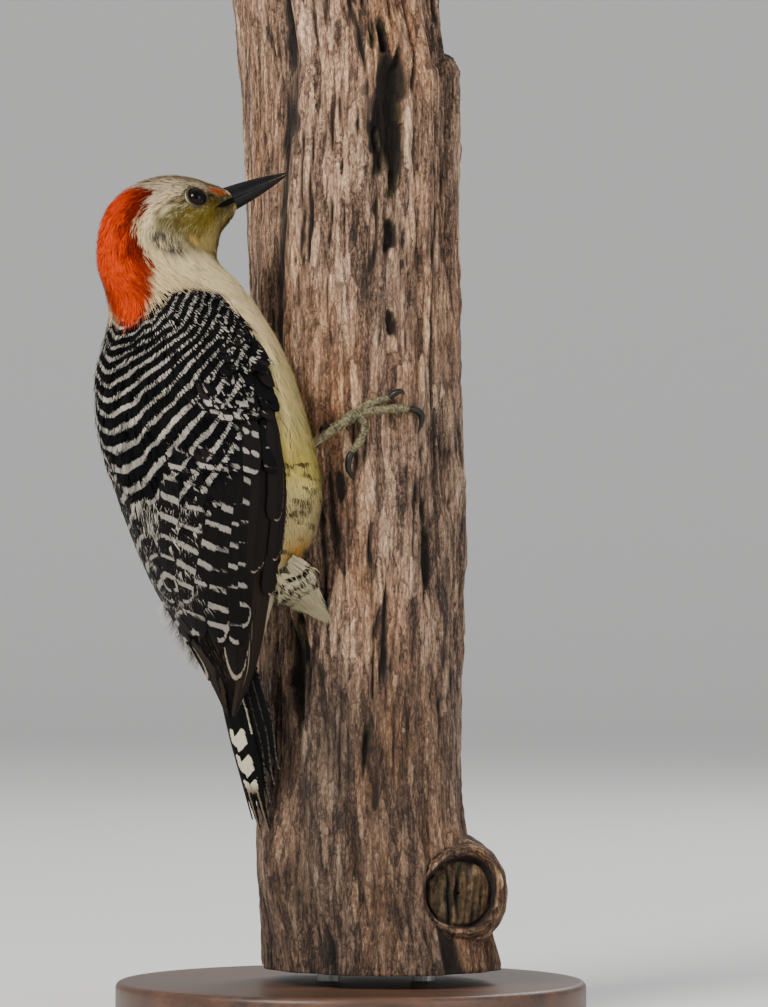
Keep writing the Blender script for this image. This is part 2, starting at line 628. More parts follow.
darkened = rim + 0.8 * split - 0.5 * wrinkle * (1 - heart) + (0.2 - 0.7 * fibres) * heart
attribute(knot, "crack", np.clip(darkened, 0, 1).ravel())
attribute(knot, "tone", (-0.65 - 0.2 * heart + 0.8 * ring_lines * (1 - heart) + 0.9 * fibres * heart).ravel())
attribute(knot, "moss", np.clip(heart * (0.45 + 1.2 * fibres), 0, 1).ravel())
attribute(knot, "proud", np.clip(0.42 + 0.8 * wrinkle + 0.7 * ring_lines, 0, 1).ravel())
knot.data.materials.append(dead_wood)
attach(knot, "root")
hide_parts("perch")


# ---- The skin -----------------------------------------------------------------------------
# One skin from the bill to the vent, over the thighs too. It lies under the coat by the coat's
# depth, least on the face, and is coloured as the coat over it.
NECK_X, NECK_Y = -58.9, -57.5
HEAD_TURN, BODY_TURN = 20.0, 42.0
STATIONS = np.array(  # back (forward, up), breast (forward, up), half the width, turn
    (
        (20.4, 265.2, 24.4, 258.0, 4.4, 20.0),  # 0, bill base
        (14.8, 266.6, 20.8, 253.8, 7.8, 20.0),
        (8.5, 268.4, 18.0, 250.4, 11.2, 20.0),  # 2, eyes
        (0.5, 268.8, 17.2, 246.8, 13.2, 20.0),
        (-7.6, 266.6, 16.8, 244.4, 14.4, 20.0),
        (-14.4, 262.2, 16.8, 242.4, 15.0, 20.0),
        (-19.0, 255.4, 17.6, 241.2, 15.4, 21.0),  # 6, nape
        (-20.8, 246.6, 19.2, 239.6, 16.2, 24.0),
        (-20.4, 239.6, 23.0, 236.8, 17.8, 29.0),
        (-17.6, 234.4, 26.4, 232.8, 20.6, 35.0),
        (-14.0, 229.2, 30.0, 227.6, 24.0, 40.0),  # 10, shoulders
        (-11.8, 220.4, 33.4, 218.8, 27.5, 42.0),
        (-15.8, 209.4, 39.4, 206.6, 29.8, 42.0),
        (-16.2, 196.6, 44.2, 192.4, 31.2, 42.0),
        (-13.4, 183.0, 44.8, 179.0, 30.8, 42.0),  # 14, belly
        (-8.3, 170.0, 44.2, 167.0, 28.6, 42.0),
        (-3.2, 156.0, 43.0, 154.0, 25.2, 42.0),
        (3.6, 141.5, 40.4, 140.5, 21.4, 42.0),  # 17, vent
        (12.7, 127.0, 39.4, 127.5, 16.8, 42.0),
        (22.4, 112.0, 33.8, 112.2, 11.2, 42.0),
        (26.2, 98.4, 29.4, 98.4, 3.8, 42.0),  # 20, wing tips
    )
)
SKIN_END = 18.2
SQUARENESS, BREAST_SQUARENESS = 2.2, 3.0


def bird_point(forward, right, up, turn=BODY_TURN):
    """A place on the bird: forward is towards the trunk, right is the bird's own right."""
    angle = np.radians(turn)
    return np.stack(
        np.broadcast_arrays(
            NECK_X + forward * np.cos(angle) + right * np.sin(angle),
            NECK_Y + forward * np.sin(angle) - right * np.cos(angle),
            up,
        ),
        -1,
    )


def thigh_swell(at, theta):
    """How far a feathered thigh stands out of the body's own round."""
    along = smooth(12.6, 15.2, at) * (1 - smooth(15.7, 17.0, at))
    return 6.0 * along * (1 - smooth(12, 33, np.abs(np.abs(theta) - 132)))


def body_point(at, theta, lift=0.0):
    """The coat's outer surface at a station and an angle, or a place lifted off it."""
    at, theta, lift = np.broadcast_arrays(at, theta, lift)
    theta = (theta + 180.0) % 360.0 - 180.0
    back_f, back_up, front_f, front_up, half_width, turn = np.moveaxis(through(STATIONS, at), -1, 0)
    angle = np.radians(theta)
    below_shoulders = smooth(10, 12, at) * (1 - smooth(17, 18, at)) * (np.abs(theta) > 90)
    power = 2 / (SQUARENESS + (BREAST_SQUARENESS - SQUARENESS) * below_shoulders)
    depth = np.sign(np.cos(angle)) * np.abs(np.cos(angle)) ** power
    width = np.sign(theta) * np.abs(np.sin(angle)) ** power * half_width
    share = (1 + depth) / 2
    middle = bird_point((back_f + front_f) / 2, 0 * at, (back_up + front_up) / 2, turn)
    point = bird_point(
        front_f + (back_f - front_f) * share, width, front_up + (back_up - front_up) * share, turn
    )
    outward = point - middle
    reach = np.linalg.norm(outward, axis=-1, keepdims=True) + 1e-9
    stand = np.maximum(lift + thigh_swell(at, theta), 0.3 - reach[..., 0])
    return point + outward / reach * stand[..., None]


def surface_frame(at, theta):
    """Along the lie, across it and outward, with the millimetres in a station and a degree."""
    ahead = body_point(at + 0.02, theta) - body_point(at - 0.02, theta)
    aside = body_point(at, theta + 0.5) - body_point(at, theta - 0.5)
    per_station = np.linalg.norm(ahead, axis=-1) / 0.04
    per_degree = np.linalg.norm(aside, axis=-1)
    normal = np.cross(ahead, aside)
    outward = body_point(at, theta, 1.0) - body_point(at, theta)
    normal = normal * np.sign((normal * outward).sum(-1, keepdims=True))
    normal = normal / np.linalg.norm(normal, axis=-1, keepdims=True)
    return ahead / (per_station[..., None] * 0.04), normal, per_station, per_degree


def blend(a, b, share):
    """A mix of two colours, or of two arrays of colours."""
    share = np.asarray(share)[..., None]
    return a * (1 - share) + b * share


CREAM = shade(255, 236, 186)
BUFF = shade(232, 206, 156)
NAPE_ORANGE = shade(234, 72, 5)
NAPE_DEEP = shade(104, 20, 3)
CROWN_GREY = shade(228, 206, 168)
CROWN_STREAK = shade(84, 74, 62)
FACE_OLIVE = shade(122, 109, 64)
FACE_DARK = shade(54, 47, 26)
LORE_YELLOW = shade(150, 124, 28)
EAR_GREY = shade(72, 71, 66)
BELLY_OLIVE = shade(216, 196, 136)
BELLY_YELLOW = shade(188, 167, 78)
BELLY_GREY = shade(168, 150, 104)
VENT_ORANGE = shade(170, 120, 40)
VENT_WHITE = shade(212, 198, 160)
FEATHER_BLACK = shade(8, 7, 8)
BAR_WHITE = shade(200, 192, 178)


def nape_share(at, theta, luck):
    """How far a place is in the orange nape band, with a ragged edge."""
    side = np.abs(theta + 6 * smooth(7.5, 9.5, at))
    edge = np.interp(at, (3.7, 4.05, 4.55, 5.3, 6.35, 6.95, 7.9, 9.2, 10.1, 10.6),
                     (24, 35, 46, 53, 52, 61, 58, 41, 25, 14))
    front = np.interp(side, (0, 12, 36, 60), (4.5, 4.35, 4.0, 4.4))
    inside = smooth(-3.0, 3.0, edge - side + 6 * luck) * smooth(-0.12, 0.12, at - front + 0.22 * luck)
    return inside * (1 - smooth(10.8, 11.3, at + 0.3 * luck))


def gape(at, side):
    """1 on the bare dark corner of the mouth, which runs back from the bill to a point."""
    return smooth(0.0, 1.5, (14 - 7.0 * at) - np.abs(side - 91 - 2.0 * at)) * (at < 2.1)


def soft_colours(at, theta, luck):
    """The head's, neck's and underside's colours. luck, from -1 to 1, is a lock's own chance."""
    side = np.abs(theta)
    colour = blend(BUFF, CREAM, smooth(6.2, 7.4, at) * smooth(60, 100, side))
    colour = blend(colour, CREAM, smooth(110, 130, side) * smooth(4.4, 5.6, at))
    # the face: olive streaks on the cheek, dark yellow round the gape, a pale patch behind
    streak = patchy(theta / 360 + 0.5, at / 20, 150, 34, 34)
    luck = np.clip(luck + 1.1 * (streak - 0.5), -1, 1)
    cheek = (1 - smooth(5.4, 6.5, at + 0.4 * luck)) * smooth(60, 68, side + 5 * luck)
    colour = blend(colour, blend(FACE_OLIVE, FACE_DARK, smooth(-0.1, 0.7, luck) * 0.85), cheek)
    colour = blend(colour, CREAM, cheek * smooth(0.45, 0.9, -luck) * 0.5)
    yellow = hill(at, 3.2, 1.7) * smooth(80, 94, side + 8 * luck) * (1 - smooth(112, 134, side))
    colour = blend(colour, LORE_YELLOW, 0.7 * yellow)
    colour = blend(colour, shade(208, 182, 112), cheek * smooth(106, 124, side + 6 * luck) * 0.75)
    colour = blend(colour, LORE_YELLOW * 0.5, hill(at, 3.6, 0.9) * hill(side, 96, 8) * 0.6)
    colour = blend(colour, LORE_YELLOW * 0.55, hill(at, 1.9, 0.7) * hill(side, 86, 9) * 0.7)
    colour = blend(colour, shade(236, 192, 104), hill(at, 5.3, 0.35) * hill(side, 107, 7) * 0.8)
    colour = blend(colour, FACE_DARK, hill(at - 0.03 * (side - 100), 5.7, 0.22) * hill(side, 104, 9) * 0.7)
    pale = hill(at, 5.8, 0.55) * hill(side, 63, 6) + 0.8 * hill(at, 4.6, 0.5) * hill(side, 69, 3.5)
    colour = blend(colour, CREAM, np.clip(pale, 0, 1) * 0.85)
    ear = hill(at - 0.004 * (side - 84), 6.35, 0.55) * hill(side, 82, 17)
    colour = blend(colour, EAR_GREY, np.clip(1.8 * ear, 0, 1) * smooth(-0.6, 0.1, luck))
    colour = blend(colour, EAR_GREY, 0.8 * hill(at, 4.0, 0.35) * hill(side, 66.5, 2.6))
    # the streaked grey crown and the orange bristles over the nostrils
    crown = (1 - smooth(57, 64, side + 4 * luck)) * (1 - smooth(4.9, 5.5, at))
    colour = blend(colour, blend(CROWN_GREY, CROWN_STREAK, smooth(0.2, 1.0, luck) * 0.85), crown)
    lores = hill(at, 1.9, 0.75) * hill(side, 70, 9)
    colour = blend(colour, FACE_DARK * 0.6, 0.8 * lores * smooth(-0.9, 0.1, luck))
    bristles = hill(at, 0.9, 0.55) * hill(side, 57, 9)
    colour = blend(colour, shade(236, 112, 36), np.clip(1.5 * bristles, 0, 1))
    colour = blend(colour, shade(9, 9, 8), gape(at, side))
    # the underside: buff on the breast, olive-yellow on the belly, grey below, orange at the vent
    under = smooth(9.0, 11.0, at) * smooth(80, 96, side)
    belly = blend(blend(BUFF, CREAM, 0.4), BELLY_OLIVE, smooth(10.5, 12.3, at + 0.4 * luck))
    belly = blend(belly, BELLY_YELLOW, hill(at, 14.0, 0.9) * (0.8 + 0.2 * luck))
    belly = blend(belly, BELLY_GREY, smooth(14.5, 15.1, at + 0.2 * luck))
    belly = blend(belly, VENT_ORANGE, hill(at, 16.2, 0.3) * hill(side, 116, 13) * 0.9)
    belly = blend(belly, VENT_WHITE, smooth(16.4, 17.0, at + 0.2 * luck))
    colour = blend(colour, belly, under)
    inner = side - np.interp(at, (4.4, 5.0, 6.6, 8.0, 9.8), (16, 23, 31, 27, 10))
    deep = smooth(-6, 15, inner + 11 * luck) * (1 - 0.25 * smooth(6.5, 8.5, at))
    orange = blend(NAPE_ORANGE, NAPE_DEEP, np.clip(deep + 0.12 * luck, 0, 1))
    colour = blend(colour, orange, nape_share(at, theta, luck))
    fleck = (luck > 0.8) * smooth(6.0, 7.5, at) * (1 - smooth(10, 11, at))
    return blend(colour, EAR_GREY * 0.7, 0.75 * fleck * (1 - nape_share(at, theta, luck)))


def chevrons(at, theta):
    """How far inside a black chevron of the lower belly a place is, in stations."""
    rows = np.stack([np.abs(at - row - 0.12 * np.abs((theta / 13 + k / 2) % 2 - 1))
                     for k, row in enumerate((14.1, 14.4, 14.7, 15.0, 15.3, 15.6, 15.9, 16.2, 16.6))])
    gaps = patchy(theta / 360 + 0.5, at / 20, 64, 60, 31)
    near = 0.075 * smooth(0.25, 0.7, gaps) - rows.min(0)
    return np.where((np.abs(theta) > 97) & (gaps > 0.33), near, -0.3)


def mantle_start(theta):
    """The station where the barred back begins under the neck's feathers."""
    side = np.abs(theta)
    return np.where(theta > 0, 1.0, 0.6) * np.interp(
        side, (0, 13, 37, 64, 84), (0.0, -0.5, -1.0, -1.5, -1.6)) + 10.7


def mantle_edge(at):
    """The angle at which the back's feathers end over the wing."""
    return np.interp(at, (10.2, 11.0, 12.3, 13.7, 14.4, 15.0, 15.8, 16.6), (80, 79, 66, 57, 42, 27, 14, 6))


BAR_SWEEP, BAR_CURVE = 0.0036, 1.5  # how the back's bars sweep up away from their lowest point
BAR_MIDDLE = -12.0  # the angle of that point: the feathers lie a little to the left
BAR_STEP, BAR_WIDENS = 0.27, 0.05  # stations from bar to bar at the top, and how they widen


def back_bars(at, theta, shift=0.0):
    """How far inside a white bar of the back a place is, as a share of the bars' spacing."""
    side = np.abs(theta - BAR_MIDDLE)
    level = at + BAR_SWEEP * side**BAR_CURVE + shift
    level = level + 0.12 * (patchy(theta / 360 + 0.5, at / 20, 44, 30, 32) - 0.5)
    widened = 1 + BAR_WIDENS / BAR_STEP * (level - 10.8)
    phase = np.log(np.maximum(widened, 0.05)) / BAR_WIDENS
    thick = 0.12 + 0.10 * patchy(theta / 360 + 0.5, at / 20, 60, 50, 33)
    return thick - np.abs(phase % 1.0 - 0.5)


def coat_depth(at):
    """How deep the skin lies under the coat's outer surface."""
    return np.interp(at, (0, 3, 5, 9, 12, 18), (0.5, 0.8, 1.4, 2.0, 3.0, 2.4))


at_rows = np.linspace(0.0, SKIN_END, 190)
thetas = np.linspace(-180, 180, 160, endpoint=False)
TH, AT = np.meshgrid(thetas, at_rows)
skin_points = body_point(AT, TH, -coat_depth(AT))
ends = np.stack([skin_points[0].mean(0), skin_points[-1].mean(0)])
last = AT.size
column = np.arange(160)
first_cap = np.stack([np.full(160, last), (column + 1) % 160, column], -1)
end_row = last - 160
last_cap = np.stack([np.full(160, last + 1), end_row + column, end_row + (column + 1) % 160], -1)
skin = joined_mesh(
    "skin",
    np.concatenate([skin_points.reshape(-1, 3), ends]),
    np.concatenate([grid_triangles(190, 160, True)[:, ::-1], first_cap[:, ::-1], last_cap[:, ::-1]]),
)
no_luck = np.zeros(AT.shape)
ground = soft_colours(AT, TH, no_luck)
barred = ((AT > mantle_start(TH)) & (np.abs(TH) < 100)).astype(float)
ground = blend(ground, FEATHER_BLACK, barred) * 0.6
ground = blend(ground, FEATHER_BLACK, (chevrons(AT, TH) > 0).astype(float))
bars = np.where(barred > 0, back_bars(AT, TH), -1)
attribute(skin, "ground", np.concatenate([ground.reshape(-1, 3), ground[0, :1], ground[-1, :1]]))
attribute(skin, "mark", np.tile(BAR_WHITE * 0.7, (AT.size + 2, 1)))
attribute(skin, "edge", np.concatenate([bars.ravel(), [-1, -1]]))


def vane_group():
    """The look of barbs: ground and mark colours with a ragged edge between them, and fine relief.

    Across and Along are a place on the feather in millimetres from its shaft and its root.
    """
    group = bpy.data.node_groups.new("barbs", "ShaderNodeTree")
    for label, kind in (
        ("Ground", "NodeSocketColor"),
        ("Mark", "NodeSocketColor"),
        ("Edge", "NodeSocketFloat"),
        ("Raggedness", "NodeSocketFloat"),
        ("Barb spacing", "NodeSocketFloat"),
        ("Barb contrast", "NodeSocketFloat"),
    ):
        group.interface.new_socket(label, in_out="INPUT", socket_type=kind)
    group.interface.new_socket("Color", in_out="OUTPUT", socket_type="NodeSocketColor")
    group.interface.new_socket("Height", in_out="OUTPUT", socket_type="NodeSocketFloat")
    given = group.nodes.new("NodeGroupInput").outputs
    place = node(group, "UVMap", uv_map="Vane").outputs[0]
    split = node(group, "SeparateXYZ", {0: place}).outputs
    slant = sums(group, "SUBTRACT", split[1], sums(group, "ABSOLUTE", split[0]))
    barb = sums(group, "DIVIDE", slant, given["Barb spacing"])
    lines = node(group, "CombineXYZ", {0: barb, 1: sums(group, "MULTIPLY", split[0], 0.35)})
    uneven = node(group, "TexNoise", {0: lines.outputs[0], "Scale": 1.0, "Detail": 2.0}).outputs[0]
    ridge = sums(group, "ABSOLUTE", sums(group, "SINE", sums(group, "MULTIPLY", barb, math.pi)))
    stray = sums(group, "MULTIPLY", sums(group, "SUBTRACT", uneven, 0.5), given["Raggedness"])
    inside = spread_over(group, sums(group, "ADD", given["Edge"], stray), -0.05, 0.05)
    colour = mixed(group, inside, given["Ground"], given["Mark"])
    fine = sums(group, "ADD", sums(group, "MULTIPLY", uneven, 0.8), sums(group, "MULTIPLY", ridge, 0.2))
    value = sums(group, "MULTIPLY", sums(group, "SUBTRACT", fine, 0.52), given["Barb contrast"])
    tint = node(group, "HueSaturation", {"Value": sums(group, "ADD", 1.0, value), "Color": colour})
    done = group.nodes.new("NodeGroupOutput")
    group.links.new(tint.outputs[0], done.inputs["Color"])
    group.links.new(sums(group, "MULTIPLY", fine, 1.0), done.inputs["Height"])
    return group


barbs_look = vane_group()


def plumage(name, roughness, raggedness, spacing, contrast, depth, **constants):
    """A feather material: colours from the mesh's points, broken up by fine barbs."""
    made, tree, shader = material(name, roughness, **constants)
    look = tree.nodes.new("ShaderNodeGroup")
    look.node_tree = barbs_look
    for label, source in (("Ground", "ground"), ("Mark", "mark"), ("Edge", "edge")):
        read = node(tree, "Attribute", attribute_name=source)
        tree.links.new(read.outputs["Fac" if source == "edge" else "Color"], look.inputs[label])
    look.inputs["Raggedness"].default_value = raggedness
    look.inputs["Barb spacing"].default_value = spacing
    look.inputs["Barb contrast"].default_value = contrast
    wire(tree, shader, look.outputs["Color"], None, look.outputs["Height"], depth)
    return made


soft_plumage = plumage("soft plumage", 0.8, 0.3, 0.3, 0.5, 0.0002, Specular_IOR_Level=0.12)
unwrapped(skin, "OFBake", np.concatenate(
    [np.stack([0.5 + TH / 361, AT / 19], -1).reshape(-1, 2), [(0.5, 0.0), (0.5, 0.98)]]), 360 / 361)
unwrapped(skin, "Vane", np.concatenate(
    [np.stack([TH * 0.4, AT * 13], -1).reshape(-1, 2), [(0.0, 0.0), (0.0, 236.0)]]), 144.0)
skin.data.materials.append(soft_plumage)
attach(skin, "root")
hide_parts("head", "neck", "torso", "thigh_left", "thigh_right")


# ---- Eyes and lids ------------------------------------------------------------------------
# A dark glass eye on each side, and round it the bare olive-grey lids, in close rings of folds.
EYE_RADIUS = 3.2
LID_PROFILE = (  # (radius, how far out from the eye's centre)
    (2.84, 1.40),
    (2.90, 1.62),
    (3.04, 1.70),
    (3.16, 1.58),
    (3.26, 1.38),
    (3.38, 1.46),
    (3.50, 1.36),
    (3.62, 1.18),
    (3.76, 1.22),
    (3.90, 1.08),
    (4.04, 0.92),
    (4.30, 0.88),
    (4.80, 0.45),
    (5.30, -0.2),
)
eye_glass, tree, shader = material("dark eye", 0.04, Specular_IOR_Level=0.24, IOR=1.4)
place = node(tree, "UVMap", uv_map="OFBake").outputs[0]
from_pupil = node(tree, "SeparateXYZ", {0: place}).outputs[1]
streaks = node(tree, "TexNoise", {0: place, "Scale": 46.0, "Detail": 3.0}).outputs[0]
iris = mixed(tree, streaks, rgba(shade(9, 4, 2)), rgba(shade(30, 12, 6)))
pupil = spread_over(tree, from_pupil, 0.20, 0.23)
wire(tree, shader, mixed(tree, pupil, rgba(shade(4, 3, 3)), iris))

lid_skin, tree, shader = material("bare lids", 0.6, Specular_IOR_Level=0.2)
folds = stretched_noise(tree, (1.0, 1.0, 1.0), 1500.0, detail=3.0)
deep_fold = node(tree, "Attribute", attribute_name="fold").outputs["Fac"]
lids = mixed(tree, folds, rgba(shade(44, 39, 24)), rgba(shade(104, 94, 62)))
lids = mixed(tree, node(tree, "Attribute", attribute_name="pale").outputs["Fac"], lids,
             rgba(shade(184, 172, 138)))
wire(tree, shader, mixed(tree, deep_fold, lids, rgba(shade(18, 15, 11))), None, folds, 0.0001)

eye_centres = []
for label, side in (("right", 1), ("left", -1)):
    low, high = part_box(f"eye_{label}")
    centre = np.array((low + high) / 2) / MM
    eye_centres.append(centre)
    guess_at, guess_theta = np.meshgrid(np.linspace(2, 4, 41), np.linspace(55, 95, 41) * side)
    face = body_point(guess_at, guess_theta)
    nearest = np.linalg.norm(face - centre, axis=-1).argmin()
    normal = surface_frame(guess_at.flat[nearest], guess_theta.flat[nearest])[1]
    level, rising = frame_across(normal)
    rings, around = 24, 48
    polar, turn = np.meshgrid(
        np.linspace(0.0005, math.pi - 0.0005, rings), np.arange(around) * math.tau / around,
        indexing="ij",
    )
    globe = centre + EYE_RADIUS * (
        normal * np.cos(polar)[..., None]
        + (level * np.cos(turn)[..., None] + rising * np.sin(turn)[..., None])
        * np.sin(polar)[..., None]
    )
    eye = joined_mesh(f"eyeball_{label}", globe, grid_triangles(rings, around, True))
    unwrapped(eye, "OFBake", np.stack([turn / math.tau, polar / math.pi], -1).reshape(-1, 2), 1.0)
    eye.data.materials.append(eye_glass)
    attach(eye, "root")
    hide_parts(f"eye_{label}")

    turn, along = np.meshgrid(np.arange(72) * math.tau / 72, np.linspace(0, 13, 66))
    profile = through(np.array(LID_PROFILE), along)
    radius, out = profile[..., 0], profile[..., 1]
    corner = 1 + 0.05 * np.cos(2 * turn) * smooth(3.4, 2.5, radius)
    crumple = 0.10 * (patchy(turn / math.tau, along / 13, 34, 10, 41) - 0.5)
    lid_points = centre + (
        (level * np.cos(turn)[..., None] + rising * (0.96 * np.sin(turn))[..., None])
        * (radius * corner)[..., None]
        + normal * (out + crumple)[..., None]
    )
    lid = joined_mesh(f"lids_{label}", lid_points, grid_triangles(66, 72, True))
    rim = smooth(3.30, 3.14, radius)
    creases = 0.8 * hill(radius, 3.27, 0.07) + 0.7 * hill(radius, 3.62, 0.07) + 0.6 * hill(radius, 4.04, 0.08)
    attribute(lid, "fold", (rim + creases).clip(0, 1).ravel())
    behind = body_point(np.array([3.6]), np.array([68.0 * side]))[0] - centre
    behind_turn = math.atan2(behind @ rising, behind @ level)
    away = (turn - behind_turn + math.pi) % math.tau - math.pi
    attribute(lid, "pale", (hill(away, 0, 0.45) * hill(radius, 3.88, 0.14)).ravel())
    unwrapped(lid, "OFBake", np.stack([turn / math.tau, along / 13], -1).reshape(-1, 2), 1.0)
    lid.data.materials.append(lid_skin)
    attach(lid, "root")


# ---- The bill -----------------------------------------------------------------------------
# Slate-black horn in two straight halves that end in a narrow chisel: a ridge along the top, a
# nostril groove at its root, and a fine line where the halves close.
BILL_TIP, BILL_ROOT = np.array((41.5, 270.2)), np.array((19.5, 260.6))
BILL_HALF_HEIGHT, BILL_HALF_WIDTH, BILL_GAP = 3.8, 3.8, 0.175
BILL_ROWS, BILL_ROUND = 60, 33
horn, tree, shader = material("bill horn", 0.42, Specular_IOR_Level=0.22)
streaks = stretched_noise(tree, (0.25, 0.25, 1.0), 1500.0, detail=4.0)
chips = stretched_noise(tree, (1.0, 1.0, 1.0), 520.0, detail=5.0)
worn = node(tree, "Attribute", attribute_name="worn").outputs["Fac"]
slate = mixed(tree, streaks, rgba(shade(3, 3, 3)), rgba(shade(17, 17, 16)))
dusty = sums(tree, "MULTIPLY", worn, spread_over(tree, chips, 0.4, 0.65), True)
wire(
    tree,
    shader,
    mixed(tree, dusty, slate, rgba(shade(48, 47, 43))),
    spread_over(tree, chips, -0.6, 2.0),
    sums(tree, "ADD", streaks, chips),
    0.00012,
)
along_bill = (BILL_TIP - BILL_ROOT) / np.linalg.norm(BILL_TIP - BILL_ROOT)
above_bill = np.array((-along_bill[1], along_bill[0]))
share, turn = np.meshgrid(
    np.linspace(0, 1, BILL_ROWS) ** 0.9, np.linspace(0, math.pi, BILL_ROUND), indexing="ij"
)
for name, side in (("bill_upper", 1), ("bill_lower", -1)):
    height = BILL_HALF_HEIGHT * (1 - 0.92 * share**1.6) * (1.0 if side > 0 else 0.94)
    width = BILL_HALF_WIDTH * (1 - 0.80 * share)
    sine, cosine = np.sin(turn), np.cos(turn)
    ridge = 0.10 * height * hill(turn, math.pi / 2, 0.16)
    groove = 0.30 * hill(np.abs(turn - math.pi / 2), 0.62, 0.10) * smooth(0.55, 0.1, share)
    lift = side * (BILL_GAP + height * sine**0.9 + ridge)
    slant = -0.9 * side * (1 - share) * sine - 1.6 * (1 - share) ** 2
    across = (width - groove * 1.2) * cosine * (1 - 0.06 * sine)
    profile = (
        BILL_ROOT
        + (BILL_TIP - BILL_ROOT) * share[..., None]
        + above_bill * lift[..., None]
        + along_bill * slant[..., None]
    )
    if side > 0:
        nostril = hill(share, 0.13, 0.045) * hill(np.abs(turn - math.pi / 2), 0.62, 0.13)
        across = across * (1 - 0.22 * nostril)
    points = bird_point(profile[..., 0], across, profile[..., 1], HEAD_TURN)
    floor_points = bird_point(
        profile[:, :1, 0] + 0 * cosine, width * cosine, profile[:, :1, 1] + 0 * cosine, HEAD_TURN
    )
    tip_middle = (points[-1].mean(0) + floor_points[-1].mean(0)) / 2
    count = points.shape[0] * BILL_ROUND
    top_faces = grid_triangles(BILL_ROWS, BILL_ROUND)
    column = np.arange(BILL_ROUND - 1)
    tip_row = count - BILL_ROUND
    tip_faces = np.stack([tip_row + column, tip_row + column + 1,
                          np.full(BILL_ROUND - 1, 2 * count)], -1)
    faces = np.concatenate([top_faces, top_faces[:, ::-1] + count, tip_faces])
    faces = faces if side > 0 else faces[:, ::-1]
    half = joined_mesh(
        name + "_horn", np.concatenate([points.reshape(-1, 3), floor_points.reshape(-1, 3),
                                        tip_middle[None]]), faces
    )
    wear = 0.5 * hill(turn, math.pi / 2, 0.35) + 0.4 * smooth(0.7, 1.0, share)
    attribute(half, "worn", np.concatenate([wear.ravel(), wear.ravel(), [0.5]]).clip(0, 1))
    half.data.materials.append(horn)
    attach(half, "root")
    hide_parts(name)


# ---- How the coat is laid -----------------------------------------------------------------
# Soft plumage is laid in locks of fine barbs, the back in loose feathers whose barbs part at
# their ends, and the wings and tail in firm closed vanes. Each kind is made many at a time.


def scatter(rng, first, last, gap, keep):
    """Roots for feathers between two stations, gap(at) millimetres apart, where keep allows."""
    around = np.linspace(-180, 180, 361)
    ats, thetas = [], []
    at = first
    while at < last:
        ring = body_point(np.full(361, at), around)
        ahead = np.linalg.norm(body_point(np.full(361, at + 0.05), around) - ring, axis=-1).mean() / 0.05
        arc = np.concatenate([[0.0], np.cumsum(np.linalg.norm(np.diff(ring, axis=0), axis=-1))])
        count = max(int(arc[-1] / gap(at)), 4)
        where = (np.arange(count) + rng.random() + rng.uniform(-0.3, 0.3, count)) / count % 1
        ats.append(at + rng.uniform(-0.4, 0.4, count) * gap(at) / ahead)
        thetas.append(np.interp(where * arc[-1], arc, around))
        at += 0.86 * gap(at) / ahead
    at, theta = np.concatenate(ats), np.concatenate(thetas)
    chosen = keep(at, theta)
    return at[chosen], theta[chosen]


def lay(at, theta, heading, along, across):
    """Stations and angles of places on feathers, from their roots, headings and millimetres."""
    extra = (None,) * (along.ndim - 1)
    _, _, per_station, per_degree = surface_frame(at, theta)
    turn = np.radians(heading)[(...,) + extra]
    ahead = (along * np.cos(turn) - across * np.sin(turn)) / per_station[(...,) + extra]
    aside = (along * np.sin(turn) + across * np.cos(turn)) / per_degree[(...,) + extra]
    return at[(...,) + extra] + ahead, theta[(...,) + extra] + aside


def strip_triangles(steps):
    """Triangles of one barb: pairs of points that narrow to a last one."""
    faces = []
    for k in range(steps - 2):
        a = 2 * k
        faces += [(a, a + 1, a + 3), (a, a + 3, a + 2)]
    faces.append((2 * steps - 4, 2 * steps - 3, 2 * steps - 2))
    return np.array(faces)


def repeated(faces, copies, points_each):
    """The same triangles for each of many copies of a shape."""
    return (faces[None] + np.arange(copies)[:, None, None] * points_each).reshape(-1, 3)


TUFT_PATCH = 0.003


def on_coat_map(at, theta):
    """The place on the coat's map, an unwrap of the skin, where each feather has its patch."""
    return np.stack([0.5 + ((theta + 180) % 360 - 180) / 361, np.clip(at, 0, 20) / 20.4], -1)


def over_the_body(at, theta, heading):
    """How feathers with those roots are placed over the body, from millimetres on each."""

    def placed(along, across, lift):
        here_at, here_theta = lay(at, theta, heading, along, across)
        return body_point(here_at, here_theta, lift), here_at, here_theta

    return placed


